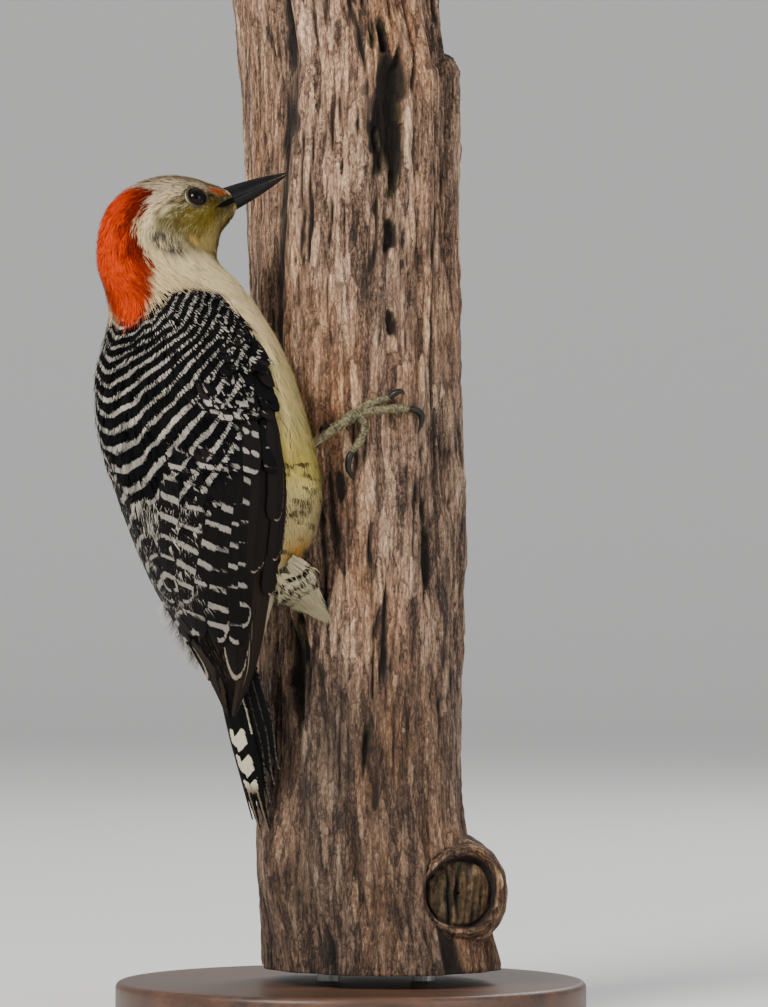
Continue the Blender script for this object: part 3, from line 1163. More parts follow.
def barb_strips(placed, along, across, width, lift, corner, tuft_patch, paint, luck):
    """Narrow tapering strips, one for each barb, from points along their middles.

    along, across and lift have one row for each feather, one for each barb and steps points.
    """
    feathers, barbs, steps = along.shape
    taper = 0.5 * width * (1 - np.linspace(0, 1, steps) ** 2.4)
    flow = np.stack([np.gradient(along, axis=-1), np.gradient(across, axis=-1)], -1)
    flow = flow / (np.linalg.norm(flow, axis=-1, keepdims=True) + 1e-9)
    sides = np.array((-1.0, 1.0))
    wide_along = along[..., None] - flow[..., 1:] * taper[:, None] * sides
    wide_across = across[..., None] + flow[..., :1] * taper[:, None] * sides
    kept = np.ones((steps, 2), dtype=bool)
    kept[-1, 1] = False
    kept = kept.ravel()
    flat = (feathers, barbs, 2 * steps)
    wide_along = wide_along.reshape(flat)[..., kept]
    wide_across = wide_across.reshape(flat)[..., kept]
    wide_lift = np.repeat(lift, 2, axis=-1)[..., kept]
    share = np.broadcast_to(np.repeat(np.linspace(0, 1, steps), 2)[kept], wide_lift.shape)
    points, here_at, here_theta = placed(wide_along, wide_across, wide_lift)
    ground, mark, edge = paint(here_at, here_theta, share, luck[..., None])
    each = 2 * steps - 1
    beside = np.tile(sides, steps)[kept] * 0.42 / barbs
    on_map = np.stack([tuft_patch[..., None] + beside + 0 * share, share], -1) * TUFT_PATCH
    return {
        "points": points.reshape(-1, 3),
        "faces": repeated(strip_triangles(steps), feathers * barbs, each),
        "ground": np.broadcast_to(ground, here_at.shape + (3,)).reshape(-1, 3),
        "mark": np.broadcast_to(mark, here_at.shape + (3,)).reshape(-1, 3),
        "edge": np.broadcast_to(edge, here_at.shape).ravel(),
        "bake": (corner[:, None, None] + on_map).reshape(-1, 2),
        "vane": np.stack([wide_across, wide_along], -1).reshape(-1, 2),
    }


def locks(rng, placed, corner, length, spread, barbs, width, depth, rise, paint, steps=5):
    """Soft locks: barbs that leave one root, open out a little, and end in fine points."""
    count = len(length)
    place = (np.arange(barbs) + 0.5) / barbs * 2 - 1 + rng.uniform(-0.5, 0.5, (count, barbs)) / barbs
    reach = length[:, None] * (1 - 0.2 * place**2) * rng.uniform(0.78, 1.08, (count, barbs))
    s = np.linspace(0, 1, steps)
    along = reach[..., None] * s
    bow = rng.normal(0, 0.05, (count, barbs))[..., None] * reach[..., None] * s**2
    across = spread[:, None, None] * place[..., None] * (0.25 + 0.75 * s) + bow
    stand = rise * (0.7 + 0.6 * rng.random((count, 1))) * (0.7 + 0.6 * rng.random((count, barbs)))
    lift = -depth[:, None, None] * (1 - s) ** 1.4 + stand[..., None] * s**2 - 0.25 * (1 - s)
    luck = np.clip(0.7 * rng.uniform(-1, 1, (count, 1)) + 0.6 * rng.uniform(-1, 1, (count, barbs)), -1, 1)
    return barb_strips(placed, along, across, width, lift, corner, place / 2, paint, luck)


def loose_feathers(rng, placed, corner, length, half, barbs, depth, rise, paint, steps=5):
    """Feathers of the back: a shaft with barbs down both sides, which part into a fringe."""
    count = len(length)
    side = np.repeat((-1.0, 1.0), barbs)
    start = np.tile((np.arange(barbs) + 0.4) / barbs, 2) * 0.86 + 0.06
    start = start + rng.uniform(-0.3, 0.3, (count, 2 * barbs)) / barbs
    lean = np.radians(52 - 40 * start**1.5)
    plan = smooth(-0.05, 0.28, start) * np.sqrt(np.maximum(1 - (start * 0.80) ** 2, 0))
    reach = half[:, None] * plan / np.sin(lean) * rng.uniform(0.86, 1.1, (count, 2 * barbs))
    reach = np.minimum(reach, 0.46 * length[:, None])
    s = np.linspace(0, 1, steps)
    along = (start * length[:, None] * 0.80)[..., None] + (reach * np.cos(lean))[..., None] * s**1.15
    across = (side * reach * np.sin(lean))[..., None] * s
    place = along / length[:, None, None]
    width = 0.62
    stand = rise * (0.6 + 0.8 * rng.random((count, 1, 1)))
    lift = -depth * (1 - np.clip(place, 0, 1)) ** 1.3 + stand * place**2
    lift = lift - 0.045 * (across**2) / np.maximum(half[:, None, None], 1) + 0.10 * rng.random(
        (count, 2 * barbs, 1)
    )
    luck = np.clip(
        0.8 * rng.uniform(-1, 1, (count, 1)) + 0.35 * rng.uniform(-1, 1, (count, 2 * barbs)), -1, 1
    )
    patch_place = np.broadcast_to(side * start / 2, (count, 2 * barbs))
    return barb_strips(placed, along, across, width, lift, corner, patch_place, paint, luck)


def round_ended(s, blunt=2.3, start=0.62):
    """A feather's half width along it, as a share, with a rounded end."""
    end = np.clip((s - start) / (1 - start), 0, 1)
    return (0.45 + 0.55 * smooth(0.0, 0.35, s)) * (1 - end**blunt) ** (1 / blunt)


def laid_vanes(at, theta, across, lift, thickness, bake, along, paint):
    """Closed thin vanes laid over the body.

    at and theta are their shafts' places, one row for each feather and one for each step;
    across, lift and thickness add a column for each place across it.
    """
    ahead = body_point(at + 0.02, theta) - body_point(at - 0.02, theta)
    aside = body_point(at, theta + 0.5) - body_point(at, theta - 0.5)
    per_station = np.linalg.norm(ahead, axis=-1) / 0.04
    per_degree = np.linalg.norm(aside, axis=-1)
    run = np.gradient(at, axis=1) * per_station
    drift = np.gradient(theta, axis=1) * per_degree
    size = np.hypot(run, drift) + 1e-9
    here_at = at[..., None] - across * (drift / size / per_station)[..., None]
    here_theta = theta[..., None] + across * (run / size / per_degree)[..., None]
    top = body_point(here_at, here_theta, lift)
    under = body_point(here_at, here_theta, lift - thickness)
    return closed_vanes(top, under, bake, across, along, *paint(here_at, here_theta))


def closed_vanes(top, under, bake, across, along, ground, mark, edge):
    """Closed thin shells between two sheets of points, one sheet of each for each feather."""
    feathers, rows, columns = across.shape
    one = grid_triangles(rows, columns)
    each = rows * columns
    rim = []
    for row, way in ((0, 1), (rows - 1, -1)):
        for k in range(columns - 1):
            a, b = row * columns + k, row * columns + k + 1
            rim += [(a, b, b + each)[::way], (a, b + each, a + each)[::way]]
    for k in range(rows - 1):
        for column, way in ((0, -1), (columns - 1, 1)):
            a, b = k * columns + column, (k + 1) * columns + column
            rim += [(a, b, b + each)[::way], (a, b + each, a + each)[::way]]
    faces = np.concatenate([one, one[:, ::-1] + each, np.array(rim)])

    def both(values, parts):
        values = np.broadcast_to(values, across.shape + ((parts,) if parts else ()))
        values = values.reshape((feathers, each) + ((parts,) if parts else ()))
        joined = np.concatenate([values, values], 1)
        return joined.reshape((-1, parts) if parts else -1)

    return {
        "points": np.concatenate(
            [top.reshape(feathers, each, 3), under.reshape(feathers, each, 3)], 1
        ).reshape(-1, 3),
        "faces": repeated(faces, feathers, 2 * each),
        "ground": both(ground, 3),
        "mark": both(mark, 3),
        "edge": both(edge, 0),
        "bake": both(bake, 2),
        "vane": both(np.stack([across, along + 0 * across], -1), 2),
    }


def coat_piece(name, batches, finish, slot, *replaced):
    """Joins batches of feathers into one piece."""
    points, faces, start = [], [], 0
    for batch in batches:
        points.append(batch["points"])
        faces.append(batch["faces"] + start)
        start += len(batch["points"])
    made = joined_mesh(name, np.concatenate(points), np.concatenate(faces))
    for label in ("ground", "mark", "edge"):
        attribute(made, label, np.concatenate([batch[label] for batch in batches]))
    unwrapped(made, "OFBake", np.concatenate([batch["bake"] for batch in batches]))
    unwrapped(made, "Vane", np.concatenate([batch["vane"] for batch in batches]))
    made.data.materials.append(finish)
    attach(made, "root")
    if replaced:
        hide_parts(*replaced)
    return made


# ---- The head's and neck's coat -----------------------------------------------------------
# Very short, fine locks round the bill and eyes, longer down the neck, and a nape of loose
# orange hair-like locks.
rng = np.random.default_rng(5)


def paint_soft(at, theta, share, luck):
    """Colours of the soft plumage: grey at the roots, the body's own colour outside."""
    lean = 0.35 * (share - 0.5)
    ground = soft_colours(at - lean, theta, luck)
    ground = ground * (0.38 + 0.56 * smooth(0.0, 0.6, share) + 0.20 * luck + 0.1 * share)[..., None]
    inside = chevrons(at, theta)
    return ground, shade(76, 66, 44), np.where((at > 13.8) & (luck < 0.7), inside * 4, -1.0)


def off_the_eyes(at, theta, reach, clear=5.0):
    """Where a lock of that length would not cross an eye's lids."""
    good = np.ones(len(at), dtype=bool)
    for centre in eye_centres:
        for step in (0.0, 0.5, 1.0):
            per_station = surface_frame(at, theta)[2]
            point = body_point(at + step * reach / per_station, theta)
            good &= np.linalg.norm(point - centre, axis=-1) > clear
    return good


def on_head(at, theta):
    covered = (at > mantle_start(theta) - 0.55) & (np.abs(theta) < 94)
    bare = gape(at + 0.5, np.abs(theta)) + gape(at, np.abs(theta)) > 0.3
    return ~covered & ~bare & off_the_eyes(at, theta, 3.0, 4.0)


def lock_length(at):
    return np.interp(at, (0, 1.5, 3, 5, 7, 10), (1.6, 2.6, 3.6, 5.2, 6.8, 8.0))


for name, first, last, barbs in (("head_plumage", 0.15, 5.0, 5), ("neck_plumage", 5.0, 10.6, 6)):
    at, theta = scatter(rng, first, last, lambda at: np.interp(at, (0, 2, 5, 10), (0.55, 0.72, 0.95, 1.3)),
                        on_head)
    length = lock_length(at) * rng.uniform(0.8, 1.2, len(at))
    heading = rng.normal(0, 7, len(at))
    batch = locks(
        rng, over_the_body(at, theta, heading), on_coat_map(at, theta), length, 0.20 * length,
        barbs, 0.30 if first < 1 else 0.34, coat_depth(at) * 0.8, 0.45, paint_soft, 4 if first < 1 else 5
    )
    coat_piece(name, [batch], soft_plumage, "head_feathers" if first < 1 else "neck_feathers")


# ---- The underside's coat -----------------------------------------------------------------
# Longer, softer locks over the breast, belly and thighs, which hide the body's edges under the
# wings, barred black towards the vent.
def on_underside(at, theta):
    edge = np.interp(at, (10.4, 11, 15.8, 17), (90, 92, 92, 118))
    return np.abs(theta) > edge


for label, side in (("right", 1), ("left", -1)):
    at, theta = scatter(rng, 9.9, 17.0, lambda at: 1.75,
                        lambda at, theta: on_underside(at, theta) & (np.sign(theta) == side))
    length = np.interp(at, (10, 12, 15, 17), (8.0, 9.5, 11.0, 8.0)) * rng.uniform(0.8, 1.15, len(at))
    heading = rng.normal(0, 8, len(at))

    def beside_the_wing(along, across, lift):
        here_at, here_theta = lay(at, theta, heading, along, across)
        tucked = (1 - smooth(96, 106, np.abs(here_theta))) * smooth(10.4, 11.4, here_at)
        return body_point(here_at, here_theta, lift - 2.6 * tucked), here_at, here_theta

    batch = locks(
        rng, beside_the_wing, on_coat_map(at, theta), length, 0.16 * length, 8, 0.42,
        coat_depth(at) * 0.6, 0.5, paint_soft, 6
    )
    coat_piece(f"belly_plumage_{label}", [batch], soft_plumage, "belly_feathers")


# ---- The barred back ----------------------------------------------------------------------
# Loose black feathers with white bars that run on from feather to feather in waves, laid from
# the rump up so that each row covers the roots of the one below.
barred_plumage = plumage("barred plumage", 0.7, 0.5, 0.42, 0.5, 0.0002, Specular_IOR_Level=0.06)


def paint_back(at, theta, share, luck):
    ground = blend(FEATHER_BLACK, FEATHER_BLACK * 2.2, smooth(-0.2, 1.0, luck))
    white = BAR_WHITE * (0.64 + 0.24 * luck)[..., None] * (0.72 + 0.34 * share)[..., None]
    edge = back_bars(at, theta, 0.025 * luck) * 4.0
    rumpward = smooth(14.6, 16.2, at + 0.4 * luck) * (1 - smooth(10, 34, np.abs(theta)))
    loose = np.where(luck > -0.2, 0.5, -0.5) * rumpward
    return ground, white, edge * (1 - rumpward) + loose


def on_back(at, theta):
    return (np.abs(theta) < mantle_edge(at) - 3) & (at > mantle_start(theta) - 0.55)


at, theta = scatter(rng, 9.0, 16.9, lambda at: np.interp(at, (9, 12, 16), (3.2, 4.2, 4.6)), on_back)
_, _, per_station, per_degree = surface_frame(at, theta)
slope = BAR_SWEEP * BAR_CURVE * np.abs(theta - BAR_MIDDLE) ** (BAR_CURVE - 1) / per_degree
heading = np.sign(theta) * np.degrees(np.arctan(0.7 * slope * per_station))
length = np.interp(at, (9, 12, 16), (9.0, 12.5, 15.0)) * rng.uniform(0.9, 1.1, len(at))
half = np.interp(at, (9, 12, 16), (3.2, 4.6, 5.2)) * rng.uniform(0.9, 1.1, len(at))
heading = heading + rng.normal(0, 5, len(at))
batch = loose_feathers(
    rng, over_the_body(at, theta, heading), on_coat_map(at, theta), length, half, 17, 1.3, 0.7,
    paint_back
)


def paint_rump(at, theta, share, luck):
    ground = blend(FEATHER_BLACK, BAR_WHITE * 0.85, (luck > -0.15).astype(float))
    return ground * (0.6 + 0.4 * share)[..., None], BAR_WHITE, np.full(share.shape, -1.0)


at, theta = scatter(
    rng, 15.0, 17.2, lambda at: 2.6, lambda at, theta: np.abs(theta) < 38 - 5 * (at - 15)
)
length = rng.uniform(7, 11, len(at))
rump = locks(
    rng, over_the_body(at, theta, rng.normal(0, 14, len(at))), on_coat_map(at, theta), length,
    0.25 * length, 8, 0.34, np.full(len(at), 1.0), 0.9, paint_rump, 6
)


def paint_fringe(at, theta, share, luck):
    ground = blend(BAR_WHITE, FEATHER_BLACK, (luck > 0.5).astype(float) * 0.8)
    return ground * (0.7 + 0.3 * share)[..., None], BAR_WHITE, np.full(share.shape, -1.0)


# the pale fringe of the feathers over the tail's root, which stands out past the left wing
at, theta = scatter(rng, 17.4, 18.7, lambda at: 1.6, lambda at, theta: np.abs(theta + 46) < 10)
length = rng.uniform(6, 9, len(at))
fringe = locks(
    rng, over_the_body(at, theta, rng.normal(-8, 12, len(at))), on_coat_map(at, theta), length,
    0.2 * length, 8, 0.42, np.full(len(at), -0.2), 4.2, paint_fringe, 5
)


def paint_tail_root(at, theta, share, luck):
    ground = blend(shade(26, 20, 17), shade(70, 60, 50), (luck > 0.6).astype(float))
    return ground * (0.6 + 0.5 * share)[..., None], BAR_WHITE, np.full(share.shape, -1.0)


# the dark feathers over the tail's root, between the wings
at, theta = scatter(rng, 17.2, 19.0, lambda at: 2.2, lambda at, theta: np.abs(theta) < 62)
length = rng.uniform(7, 10, len(at))
tail_root = locks(
    rng, over_the_body(at, theta, rng.normal(0, 6, len(at))), on_coat_map(at, theta), length,
    0.26 * length, 9, 0.5, np.full(len(at), 2.4), -1.9, paint_tail_root, 5
)
coat_piece("barred_plumage", [batch, rump, fringe, tail_root], barred_plumage, "barred_feathers")


# ---- The wings' coverts -------------------------------------------------------------------
# Small firm feathers in overlapping rows, black with white hooks near their ends on the
# shoulder, and longer ones with white squares below it. Each wing is laid from its tip up.
wing_plumage = plumage("wing plumage", 0.6, 0.9, 0.36, 0.5, 0.00012, Specular_IOR_Level=0.08)
quill_plumage = plumage("quill plumage", 0.55, 1.5, 0.34, 0.5, 0.00012, Specular_IOR_Level=0.08)


def segment_inside(along, across, start, end, half_width):
    """How far inside a straight bar of that half width a place on a feather is."""
    run = (end[0] - start[0], end[1] - start[1])
    size = run[0] ** 2 + run[1] ** 2
    share = ((along - start[0]) * run[0] + (across - start[1]) * run[1]) / size
    share = np.clip(share, 0, 1)
    return half_width - np.hypot(along - start[0] - share * run[0], across - start[1] - share * run[1])


def coverts(rng, at, theta, heading, length, half, depth, rise, marks, rows=9, columns=7):
    """Firm feathers in rows. marks gives how far inside a white mark each place is."""
    count = len(at)
    s = np.linspace(0, 1, rows)
    x = np.linspace(-1, 1, columns)
    along = length[:, None] * s
    spine_at, spine_theta = lay(at, theta, heading, along, 0 * along)
    plan = round_ended(s)
    ragged = rng.uniform(-0.10, 0.04, (count, rows, columns)) * (np.abs(x) > 0.9)
    across = half[:, None, None] * plan[:, None] * x * (1 + ragged)
    place = s[None, :, None]
    stand = rise * (0.75 + 0.5 * rng.random((count, 1, 1)))
    lift = -depth * (1 - place) ** 1.2 + stand * place**1.6 - 0.30 * x**2 * place
    thickness = 0.05 + 0.14 * (1 - np.abs(x)) * np.ones((count, rows, 1))
    luck = rng.uniform(-1, 1, (count, 1, 1))
    tint = blend(FEATHER_BLACK * 1.3, shade(32, 26, 24), smooth(0.1, 1.0, luck) * 0.8)
    white = BAR_WHITE * (0.50 + 0.14 * luck)[..., None]
    edge = marks(along[:, :, None] + 0 * across, across, length[:, None, None], half[:, None, None], luck)

    def paint(here_at, here_theta):
        shown = edge - 0.8 * smooth(85, 94, np.abs(here_theta))
        return np.broadcast_to(tint, across.shape + (3,)), white, shown

    on_map = np.stack([0.5 * x + 0 * across, place + 0 * across], -1) * TUFT_PATCH
    bake = on_coat_map(at, theta)[:, None, None] + on_map
    return laid_vanes(spine_at, spine_theta, across, lift, thickness, bake, along[:, :, None], paint)


def hooked(along, across, length, half, luck):
    """A white hook or two near the feather's end."""
    left = segment_inside(
        along, across, (0.58 * length, -0.80 * half), (0.90 * length, -0.30 * half), 0.40 + 0.15 * luck
    )
    right = segment_inside(
        along, across, (0.56 * length, 0.82 * half), (0.92 * length, 0.20 * half), 0.42 - 0.15 * luck
    )
    return np.where(luck > 0.3, right, np.where(luck < -0.5, left, np.maximum(left, right)))


def squared(along, across, length, half, luck):
    """White squares down both webs, the outer ones lower."""
    edge = np.full(across.shape, -9.0)
    for k in range(4):
        middle = length - 2.3 - 6.4 * k + 0.5 * luck
        slanted = np.abs(along - middle - 0.12 * across) - 0.78 - 0.10 * np.abs(across)
        inside = np.abs(across - 0.12 * luck * half) - (0.70 + 0.1 * luck) * half
        shaft = 0.25 - np.abs(across) if k else -9.0 + 0 * across
        edge = np.maximum(edge, -np.maximum(np.maximum(slanted, inside), shaft))
    return edge


def covert_rows(side, first, last, row_gap, gap, edge_from, edge_to):
    """Places of overlapping rows of coverts, each row set half a feather over from the last."""
    ats, thetas = [], []
    for row, at in enumerate(np.arange(first, last, row_gap)):
        low, high = edge_from(at), edge_to(at)
        per_degree = surface_frame(np.array([at]), np.array([side * (low + high) / 2]))[3][0]
        step = gap / per_degree
        row_thetas = np.arange(low + (row % 2) * step / 2, high, step)
        thetas.append(side * row_thetas)
        ats.append(np.full(len(row_thetas), at))
    at, theta = np.concatenate(ats), np.concatenate(thetas)
    return at + rng.uniform(-0.04, 0.04, len(at)), theta + side * rng.uniform(-1.2, 1.2, len(at))


def front_edge(at):
    return np.interp(at, (10.0, 10.6, 11.2, 12, 13, 15), (90, 94, 96, 96.5, 96, 95))


# Feathers of the folded wing: the (station, angle) of each one's root, middle and tip, half its
# width, its lift at the tip, and its marking.
QUILLS = (
    ((14.1, 27), (15.7, 16), (17.25, -4), 3.8, 0.95, "tertial"),
    ((14.0, 43), (15.65, 35), (17.5, 6), 4.6, 0.75, "tertial"),
    ((13.9, 54), (16.0, 43), (18.2, 1), 4.6, 0.5, "tertial"),
    ((13.8, 65), (16.05, 54), (18.35, 29), 4.4, 0.2, "tertial"),
    ((13.8, 74), (16.05, 64), (18.4, 53), 4.0, -0.1, "secondary"),
    ((13.9, 80), (16.05, 72), (18.05, 67), 3.8, -0.3, "secondary"),
    ((14.2, 84), (16.6, 77), (19.15, 42), 4.3, -0.45, "inner primary"),
    ((15.4, 84), (17.9, 68), (19.45, 56), 3.0, -0.65, "primary"),
    ((15.5, 87), (17.95, 73), (19.7, 60), 2.9, -0.8, "primary"),
    ((15.6, 90), (18.0, 78), (19.9, 63), 2.8, -0.95, "primary"),
    ((15.7, 93), (18.0, 85), (19.98, 70), 2.8, -1.0, "primary"),
    ((15.8, 96), (18.0, 92), (19.7, 84), 2.8, -1.1, "primary"),
    ((15.9, 99), (17.8, 99), (19.2, 98), 2.8, -1.2, "primary"),
    ((13.4, 90), (15.0, 87), (16.8, 84), 3.8, -0.35, "alula"),
    ((12.9, 93), (14.3, 94.5), (15.6, 95), 3.2, 0.5, "alula"),
    ((13.5, 96), (15.1, 97.5), (16.5, 98), 2.9, 0.2, "alula"),
    ((14.1, 97), (15.7, 98.5), (17.3, 98.5), 3.2, 0.0, "alula"),
)
WING_CROSSES = 62.0  # how far round the left wing's tips lie over the rump, under the right one's
QUILL_SHADES = {
    "tertial": (16, 12, 12),
    "secondary": (18, 14, 14),
    "inner primary": (22, 18, 15),
    "primary": (40, 32, 25),
    "alula": (25, 20, 18),
}


def quill_marks(kind, number, along, across, length, half, web):
    """Slanting white bars on the inner quills, pale edges on the outer ones.

    web is the place across the feather as a share of its half width there.
    """
    past = np.clip((along / length - 0.80) / 0.20, 0, 1)
    tip = 1 - np.hypot(across / half, past)
    if kind in ("tertial", "secondary"):
        first, thick, wide = (7.0, 0.9, 0.80) if kind == "tertial" else (7.2, 0.7, 0.58)
        edge = np.full(across.shape, -9.0)
        for k in range(7):
            middle = length - first - 0.9 * (number % 3) - 6.9 * k
            uneven = 0.22 * math.sin(5 * k + 3 * number)
            slanted = np.abs(along - middle - (0.08 + uneven * 0.5) * across) - thick - uneven
            inside = np.abs(across - 0.05 * half) - (wide + 0.3 * uneven) * half
            edge = np.maximum(edge, -np.maximum(slanted, inside))
        open_side = -1 if number % 2 else 1  # each tip's rim stops at the shaft on one side
        shown = (past > 0.3) & (across * open_side < 0.25 * half)
        rim = np.where(shown, 0.06 - np.abs(tip - 0.10), -1.0) * half
        return np.maximum(edge, 3 * rim)
    if kind == "inner primary":
        return np.where(past > 0.1, 0.06 - np.abs(tip - 0.09), -1.0) * 3 * half
    if kind == "primary":
        return np.where(along > 0.25 * length, 0.11 - np.abs(web - 0.84), -1.0) * 20
    return np.where((along > 0.5 * length) & (across > -0.3 * half), 0.035 - np.abs(tip - 0.06), -1.0) * 3 * half


def quill(rng, side, axis, half, lift_at_tip, kind, number):
    """One long feather of the folded wing, laid along the body."""
    rows, columns = 48, 15
    s = np.linspace(0, 1, rows)
    at, theta = through(np.array(axis, dtype=float), 2 * s).T[:, None]
    if side < 0 and kind == "primary":
        theta = theta - WING_CROSSES * s**1.2
    theta = side * theta
    step = np.linalg.norm(np.diff(body_point(at[0], theta[0]), axis=0), axis=-1)
    along = np.concatenate([[0.0], np.cumsum(step)])
    x = np.array((-1, -0.9, -0.76, -0.6, -0.4, -0.2, -0.07, 0, 0.07, 0.2, 0.4, 0.6, 0.76, 0.9, 1.0))
    blunt, start = (2.6, 0.80) if kind != "primary" else (1.6, 0.55)
    plan = round_ended(s, blunt, start)
    ragged = rng.uniform(-0.05, 0.02, (1, rows, columns)) * (np.abs(x) > 0.95)
    across = side * (half * plan[:, None] * x * (1 + ragged))
    base = lift_at_tip - 0.9 * (1 - s) ** 2
    shaft = 0.16 * np.exp(-((x / 0.07) ** 2))
    lift = base[None, :, None] - 0.35 * x**2 + shaft
    thickness = np.broadcast_to(0.07 + 0.16 * (1 - np.abs(x)), across.shape)
    edge = quill_marks(
        kind, number, along[None, :, None] + 0 * across, side * across, along[-1], half, x + 0 * across
    )
    tint = shade(*QUILL_SHADES[kind]) * (1 - 0.35 * hill(x, 0, 0.08))[:, None]
    white = BAR_WHITE * 0.46 if kind in ("tertial", "secondary") else shade(138, 126, 108)

    def paint(here_at, here_theta):
        return np.broadcast_to(tint, across.shape + (3,)), white, edge

    cell = np.array((0.02 + 0.055 * number, 0.05 if side > 0 else 0.55))
    bake = cell + np.stack([0.025 + 0.024 * x + 0 * across, 0.42 * s[None, :, None] + 0 * across], -1)
    return laid_vanes(at, theta, across, lift, thickness, bake, along[None, :, None], paint)


for label, side in (("right", 1), ("left", -1)):
    quills = [
        quill(rng, side, row[:3], *row[3:], number)
        for number, row in reversed(list(enumerate(QUILLS)))
    ]
    coat_piece(f"wing_quills_{label}", quills, quill_plumage, "wing_feathers", f"wing_{label}")
    batches = []
    # greater coverts over the quills' roots, then median ones, then the shoulder's small ones
    at, theta = covert_rows(side, 12.9, 13.3, 0.42, 5.0, lambda at: 34, lambda at: 94)
    count = len(at)
    batches.append(
        coverts(rng, at, theta, side * rng.normal(-4, 2, count), 23.0 * rng.uniform(0.94, 1.05, count),
                np.full(count, 4.1), 0.9, 0.65, squared, 18, 9)
    )
    at, theta = covert_rows(side, 11.9, 12.7, 0.42, 4.9, lambda at: mantle_edge(at) - 14, front_edge)
    count = len(at)
    batches.append(
        coverts(rng, at, theta, side * (rng.normal(2, 4, count) - 8 * smooth(82, 94, np.abs(theta))),
                13.0 * rng.uniform(0.92, 1.08, count),
                np.full(count, 3.6), 0.9, 0.75, squared, 12, 9)
    )
    at, theta = covert_rows(side, 10.0, 12.4, 0.30, 4.3, lambda at: mantle_edge(at) - 12, front_edge)
    count = len(at)
    batches.append(
        coverts(rng, at, theta, side * (rng.normal(8, 6, count) - 14 * smooth(80, 93, np.abs(theta))),
                8.2 * rng.uniform(0.9, 1.15, count),
                2.9 * rng.uniform(0.9, 1.1, count), 0.9, 0.9, hooked, 10, 9)
    )
    coat_piece(f"wing_coverts_{label}", batches, wing_plumage, "wing_feathers", f"wing_{label}")


# ---- The tail -----------------------------------------------------------------------------
# Five pairs of stiff pointed feathers in a low roof, braced on the wood, the middle pair longest
# and uppermost. They are black, and the middle pair has white blotches along its inner webs.
TAIL_RIDGE = np.array(  # forward, right, up from the root to the tip
    (
        (18.5, -0.6, 125.0),
        (24.0, -1.4, 109.0),
        (30.2, -2.8, 92.0),
        (36.6, -4.0, 77.0),
        (43.4, -5.2, 61.0),
    )
)
TAIL_ROOF = math.radians(36.0)
TAIL_PAIRS, TAIL_STEP_UP = 5, 5.2
MIDDLE_PAIR_SET_OVER = 3.0  # the middle pair lies over the right half of the roof
TAIL_BLOTCHES = ((0.507, 2.9), (0.645, 3.2), (0.758, 1.7))  # share along, half height


def tail_point(along, out, drop):
    """A place in the tail: out from its ridge down the roof, drop below the upper side."""
    forward, right, up = np.moveaxis(through(TAIL_RIDGE, along * (len(TAIL_RIDGE) - 1)), -1, 0)
    down_roof = np.sqrt(out**2 + 1.0) - 1.0
    return bird_point(
        forward + down_roof * math.sin(TAIL_ROOF) + drop, right + out * math.cos(TAIL_ROOF), up
    )


tail_feathers = []
x = np.array((-1, -0.85, -0.62, -0.38, -0.12, 0, 0.12, 0.38, 0.62, 0.85, 1.0))
for side in (1, -1):
    for pair in range(TAIL_PAIRS):
        length = 1 - pair * TAIL_STEP_UP / 64
        share = np.linspace(0.08, 1, 60)[:, None]
        out = 1.6 + pair * (1.5 + 1.0 * share)
        half = 3.5 * (1 - 0.95 * smooth(0.60, 1.0, share) ** 0.9) + 0.12
        ragged = rng.uniform(-0.10, 0.03, (60, 11)) * (np.abs(x) > 0.95)
        frayed = smooth(0.78, 1.0, share) * (np.arange(60)[:, None] % 3 - 1) * 0.22 * (np.abs(x) > 0.8)
        across = half * x * (1 + ragged + frayed)
        drop = 0.62 * pair + (0.22 if side < 0 else 0.0) + 0.30 * x**2 - 0.20 * np.exp(-((x / 0.08) ** 2))
        drop = drop + 0 * share
        along = share * length
        inner = side * (out + across) + (MIDDLE_PAIR_SET_OVER * smooth(0.1, 0.4, share) if pair == 0 else 0)
        top = tail_point(along + 0 * across, inner, drop)
        under = tail_point(along + 0 * across, inner, drop + 0.12 + 0.3 * (1 - np.abs(x)))
        millimetres = along * 68
        edge = np.full(across.shape, -2.0)
        if pair == 0:
            for middle, height in TAIL_BLOTCHES:
                reach = height - np.abs(millimetres - 68 * middle + 0.9 * across)
                web = np.minimum(across + 0.92 * half, 0.30 * half - across)
                edge = np.maximum(edge, np.minimum(reach, web))
            pale_shaft = np.where(along > 0.78, 0.28 - np.abs(across), -2.0)
            pale_edge = np.where(along < 0.50, 0.20 - np.abs(across - 0.88 * half), -2.0)
            edge = np.maximum(edge, np.maximum(pale_shaft, pale_edge))
            mark = blend(shade(200, 190, 164), shade(112, 98, 78), smooth(0.74, 0.80, along) + 0 * across)
        else:
            edge = np.maximum(edge, 0.14 - np.abs(across - 0.93 * half + 0.04))
        ground = np.broadcast_to(shade(11, 10, 10) * (1 + 0.8 * hill(x, 0, 0.06))[:, None], across.shape + (3,))
        cell = np.array((0.02 + 0.09 * pair, 0.05 if side > 0 else 0.55))
        bake = cell + np.stack(np.broadcast_arrays(0.035 + 0.033 * x, 0.42 * share), -1)
        tail_feathers.append(closed_vanes(
            top[None], under[None], bake[None], side * across[None], (millimetres + 0 * across)[None],
            ground, mark[None] if pair == 0 else shade(84, 78, 70), edge[None],
        ))
coat_piece("tail_quills", tail_feathers, quill_plumage, "tail_feathers", "tail")


# ---- The feathers below the thighs --------------------------------------------------------
# Long loose feathers that spread from each flank down over the wood to one point, white with
# black bars across.
FLANK_ROOT = (32.0, 20.0, 142.5)
FLANK_TIP = (76.5, 129.3)  # azimuth, up
CLING_AZIMUTH = BODY_TURN


def foot_azimuth(azimuth, side):
    """The right foot's azimuth, or the left's, which mirrors it about the line it clings on."""
    return azimuth if side > 0 else 2 * CLING_AZIMUTH - azimuth


